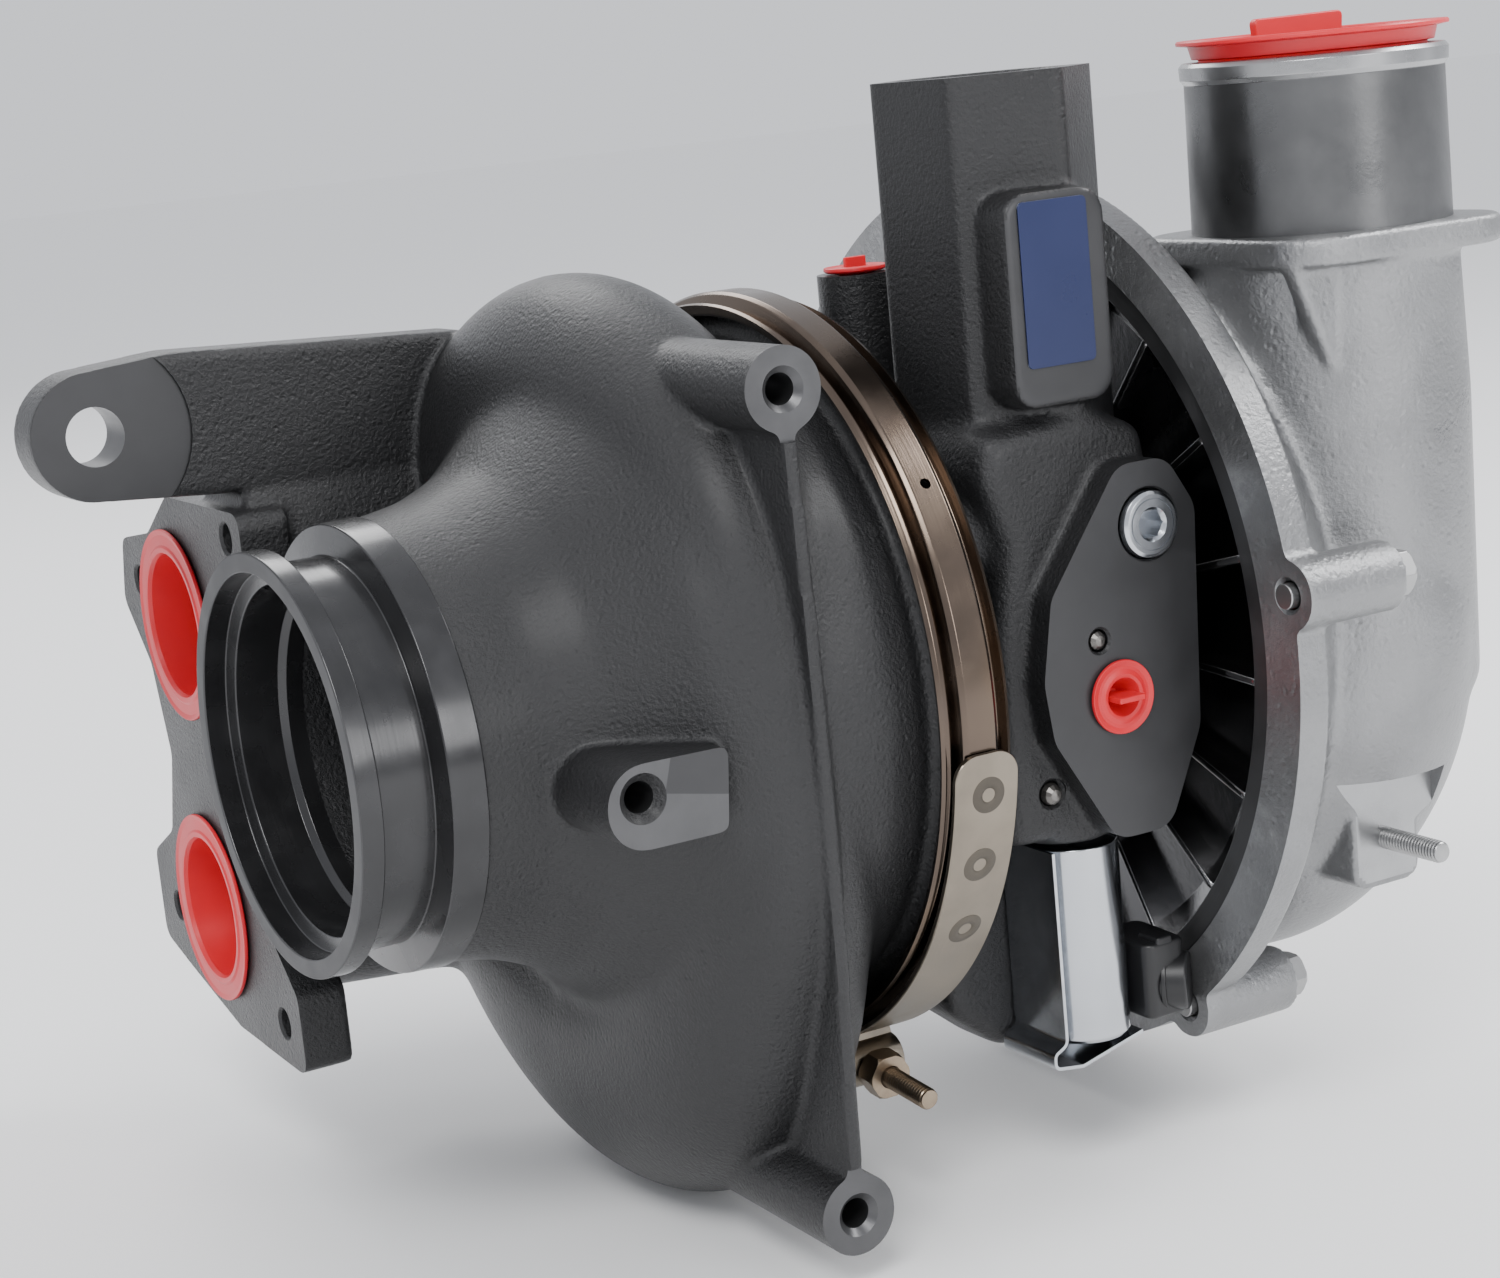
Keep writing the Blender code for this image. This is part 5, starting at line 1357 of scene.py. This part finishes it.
class TURBO_OT_caps(Operator):
    """Soft shipping caps in the ports"""

    bl_idname = "turbo.caps"
    bl_label = "Shipping Caps"

    def execute(self, context):
        for side, (y, z) in zip(("upper", "lower"), PORTS):
            cap = cup(f"inlet_cup_{side}", (FLANGE_X - 1.7, y, z), (1, 0, 0), 28.8, 22.5, 21.8)
            finish_piece(cap, f"inlet_cap_{side}", "red_plastic", f"turbine_inlet_cap_{side}")
        x, y = DUCT
        skirt = [(0.4, 31.2), (0.0, 32.0), (0.0, 36.2), (0.5, 36.6), (1.3, 36.5), (1.7, 33.4), (5.2, 32.5),
                 (5.4, 30.7), (22.8, 29.7), (23.9, 28.6), (23.9, 0), (22.9, 0), (22.9, 27.6), (21.8, 28.5)]
        crown = DUCT_TOP + 6
        wall = turned("wall", skirt, "red_cap", (x, y, crown), (0, 0, -1), 120, 0.25)
        outline = [(x - 17, crown - 23.2), (x + 8, crown - 23.2), (x + 10.5, crown + 4.6),
                   (x - 20.5, crown + 4.2)]
        grip = slab("grip", eased(outline, [0, 0, 1.5, 1.5]), y - 1.4, y + 1.4, "red_cap", "XZ", 0.5)
        top = merge("outlet_cup", [wall, grip])
        smooth(top)
        finish_piece(top, "outlet_cap", "red_plastic", "compressor_outlet_cap")
        oil = merge("oil_cup", [cup("wall", (27, 0, 106.9), (0, 0, -1), 8.9, 4.4, 9.8, 0.4),
                                slab("grip", [(23.6, 97.5), (30.4, 97.5), (30.4, 109.6), (23.6, 109.6)],
                                     -0.7, 0.7,
                                     "red_cap", "XZ", 0.3)])
        smooth(oil)
        finish_piece(oil, "oil_cap", "red_plastic", "oil_inlet_cap")
        port = merge("port_cup", [cup("wall", (42, PAD_Y - 1.7, -7.3), (0, 1, 0), 9.9, 5.8, 6.8, 0.4),
                                  slab("grip", [(37.8, -95.6), (46.2, -95.6), (46.2, -85.2), (37.8, -85.2)],
                                       -8.1, -6.5,
                                       "red_cap", "XY", 0.3)])
        smooth(port)
        finish_piece(port, "sensor_cap", "red_plastic", "sensor_port_cap")
        return {"FINISHED"}


# ---------------------------------------------------------------- stage


def plain(name, colour, roughness):
    made = Finish(name, 0.0, roughness, colour)
    return made.material


class TURBO_OT_stage(Operator):
    """Pale floor, soft lights and the camera"""

    bl_idname = "turbo.stage"
    bl_label = "Stage"

    def execute(self, context):
        stage = context.scene.turbo_stage
        low = min(corner[2] for corner in CAD_BOX)
        builder = bmesh.new()
        bmesh.ops.create_grid(builder, x_segments=8, y_segments=8, size=9.0)
        mesh = bpy.data.meshes.new("floor")
        builder.to_mesh(mesh)
        builder.free()
        floor = bpy.data.objects.new("floor", mesh)
        floor.location = (0, 0, low - 0.0004)
        mesh.materials.append(plain("pale_floor", stage.floor, 0.7))
        context.scene.collection.objects.link(floor)
        world = bpy.data.worlds.new("studio")
        world.use_nodes = True
        world.node_tree.nodes["Background"].inputs["Color"].default_value = (0.93, 0.95, 1.0, 1)
        world.node_tree.nodes["Background"].inputs["Strength"].default_value = 1.0 * stage.light
        context.scene.world = world
        for name, place, size, power in (("key", (-0.9, -1.1, 1.5), 0.9, 26),
                                         ("rim", (1.3, -0.5, 1.2), 0.8, 24),
                                         ("front", (0.3, -1.8, 0.5), 0.7, 9),
                                         ("back", (0.2, 1.6, 1.4), 1.0, 16)):
            lamp = bpy.data.lights.new(name, "AREA")
            lamp.shape = "DISK"
            lamp.size = size
            lamp.energy = power * stage.light
            holder = bpy.data.objects.new(name, lamp)
            holder.location = place
            holder.rotation_euler = (-Vector(place)).to_track_quat("-Z", "Y").to_euler()
            context.scene.collection.objects.link(holder)
        a, e, roll = stage.azimuth, stage.elevation, stage.roll
        back = Vector((math.sin(a) * math.cos(e), -math.cos(a) * math.cos(e), math.sin(e)))
        level = Vector((math.cos(a), math.sin(a), 0))
        rise = back.cross(level)
        right = level * math.cos(roll) + rise * math.sin(roll)
        up = back.cross(right)
        camera = bpy.data.objects.new("camera", bpy.data.cameras.new("camera"))
        camera.data.lens = stage.lens
        camera.data.sensor_width = 36.0
        turn = Matrix((right, up, back)).transposed().to_4x4()
        camera.matrix_world = Matrix.Translation(Vector(stage.target) + back * stage.distance) @ turn
        camera.data.clip_start, camera.data.clip_end = 0.01, 50.0
        context.scene.collection.objects.link(camera)
        context.scene.camera = camera
        return {"FINISHED"}


class TURBO_PT_builder(Panel):
    """Lists the turbocharger's pieces"""

    bl_label = "Turbocharger"
    bl_idname = "TURBO_PT_builder"
    bl_space_type = "VIEW_3D"
    bl_region_type = "UI"
    bl_category = "Turbocharger"

    def draw(self, context):
        for settings in (context.scene.turbo_sizes, context.scene.turbo_finishes,
                         context.scene.turbo_stage):
            column = self.layout.column()
            for name in settings.bl_rna.properties.keys():
                if name not in ("rna_type", "name"):
                    column.prop(settings, name)
        for step in STEPS:
            self.layout.operator(step.bl_idname)


STEPS = (TURBO_OT_turbine_housing, TURBO_OT_centre_housing, TURBO_OT_backplate, TURBO_OT_compressor_cover,
         TURBO_OT_clamp, TURBO_OT_valve, TURBO_OT_fittings, TURBO_OT_caps, TURBO_OT_stage)
SETTINGS = {"turbo_sizes": TURBO_PG_sizes, "turbo_finishes": TURBO_PG_finishes,
            "turbo_stage": TURBO_PG_stage}
CLASSES = (*SETTINGS.values(), *STEPS, TURBO_PT_builder)


def register():
    for entry in CLASSES:
        bpy.utils.register_class(entry)
    for name, settings in SETTINGS.items():
        setattr(bpy.types.Scene, name, PointerProperty(type=settings))


def unregister():
    for name in SETTINGS:
        delattr(bpy.types.Scene, name)
    for entry in reversed(CLASSES):
        bpy.utils.unregister_class(entry)


def main():
    register()
    for step in STEPS:
        category, name = step.bl_idname.split(".")
        getattr(getattr(bpy.ops, category), name)()
    bpy.context.view_layer.update()


if __name__ == "__main__":
    main()
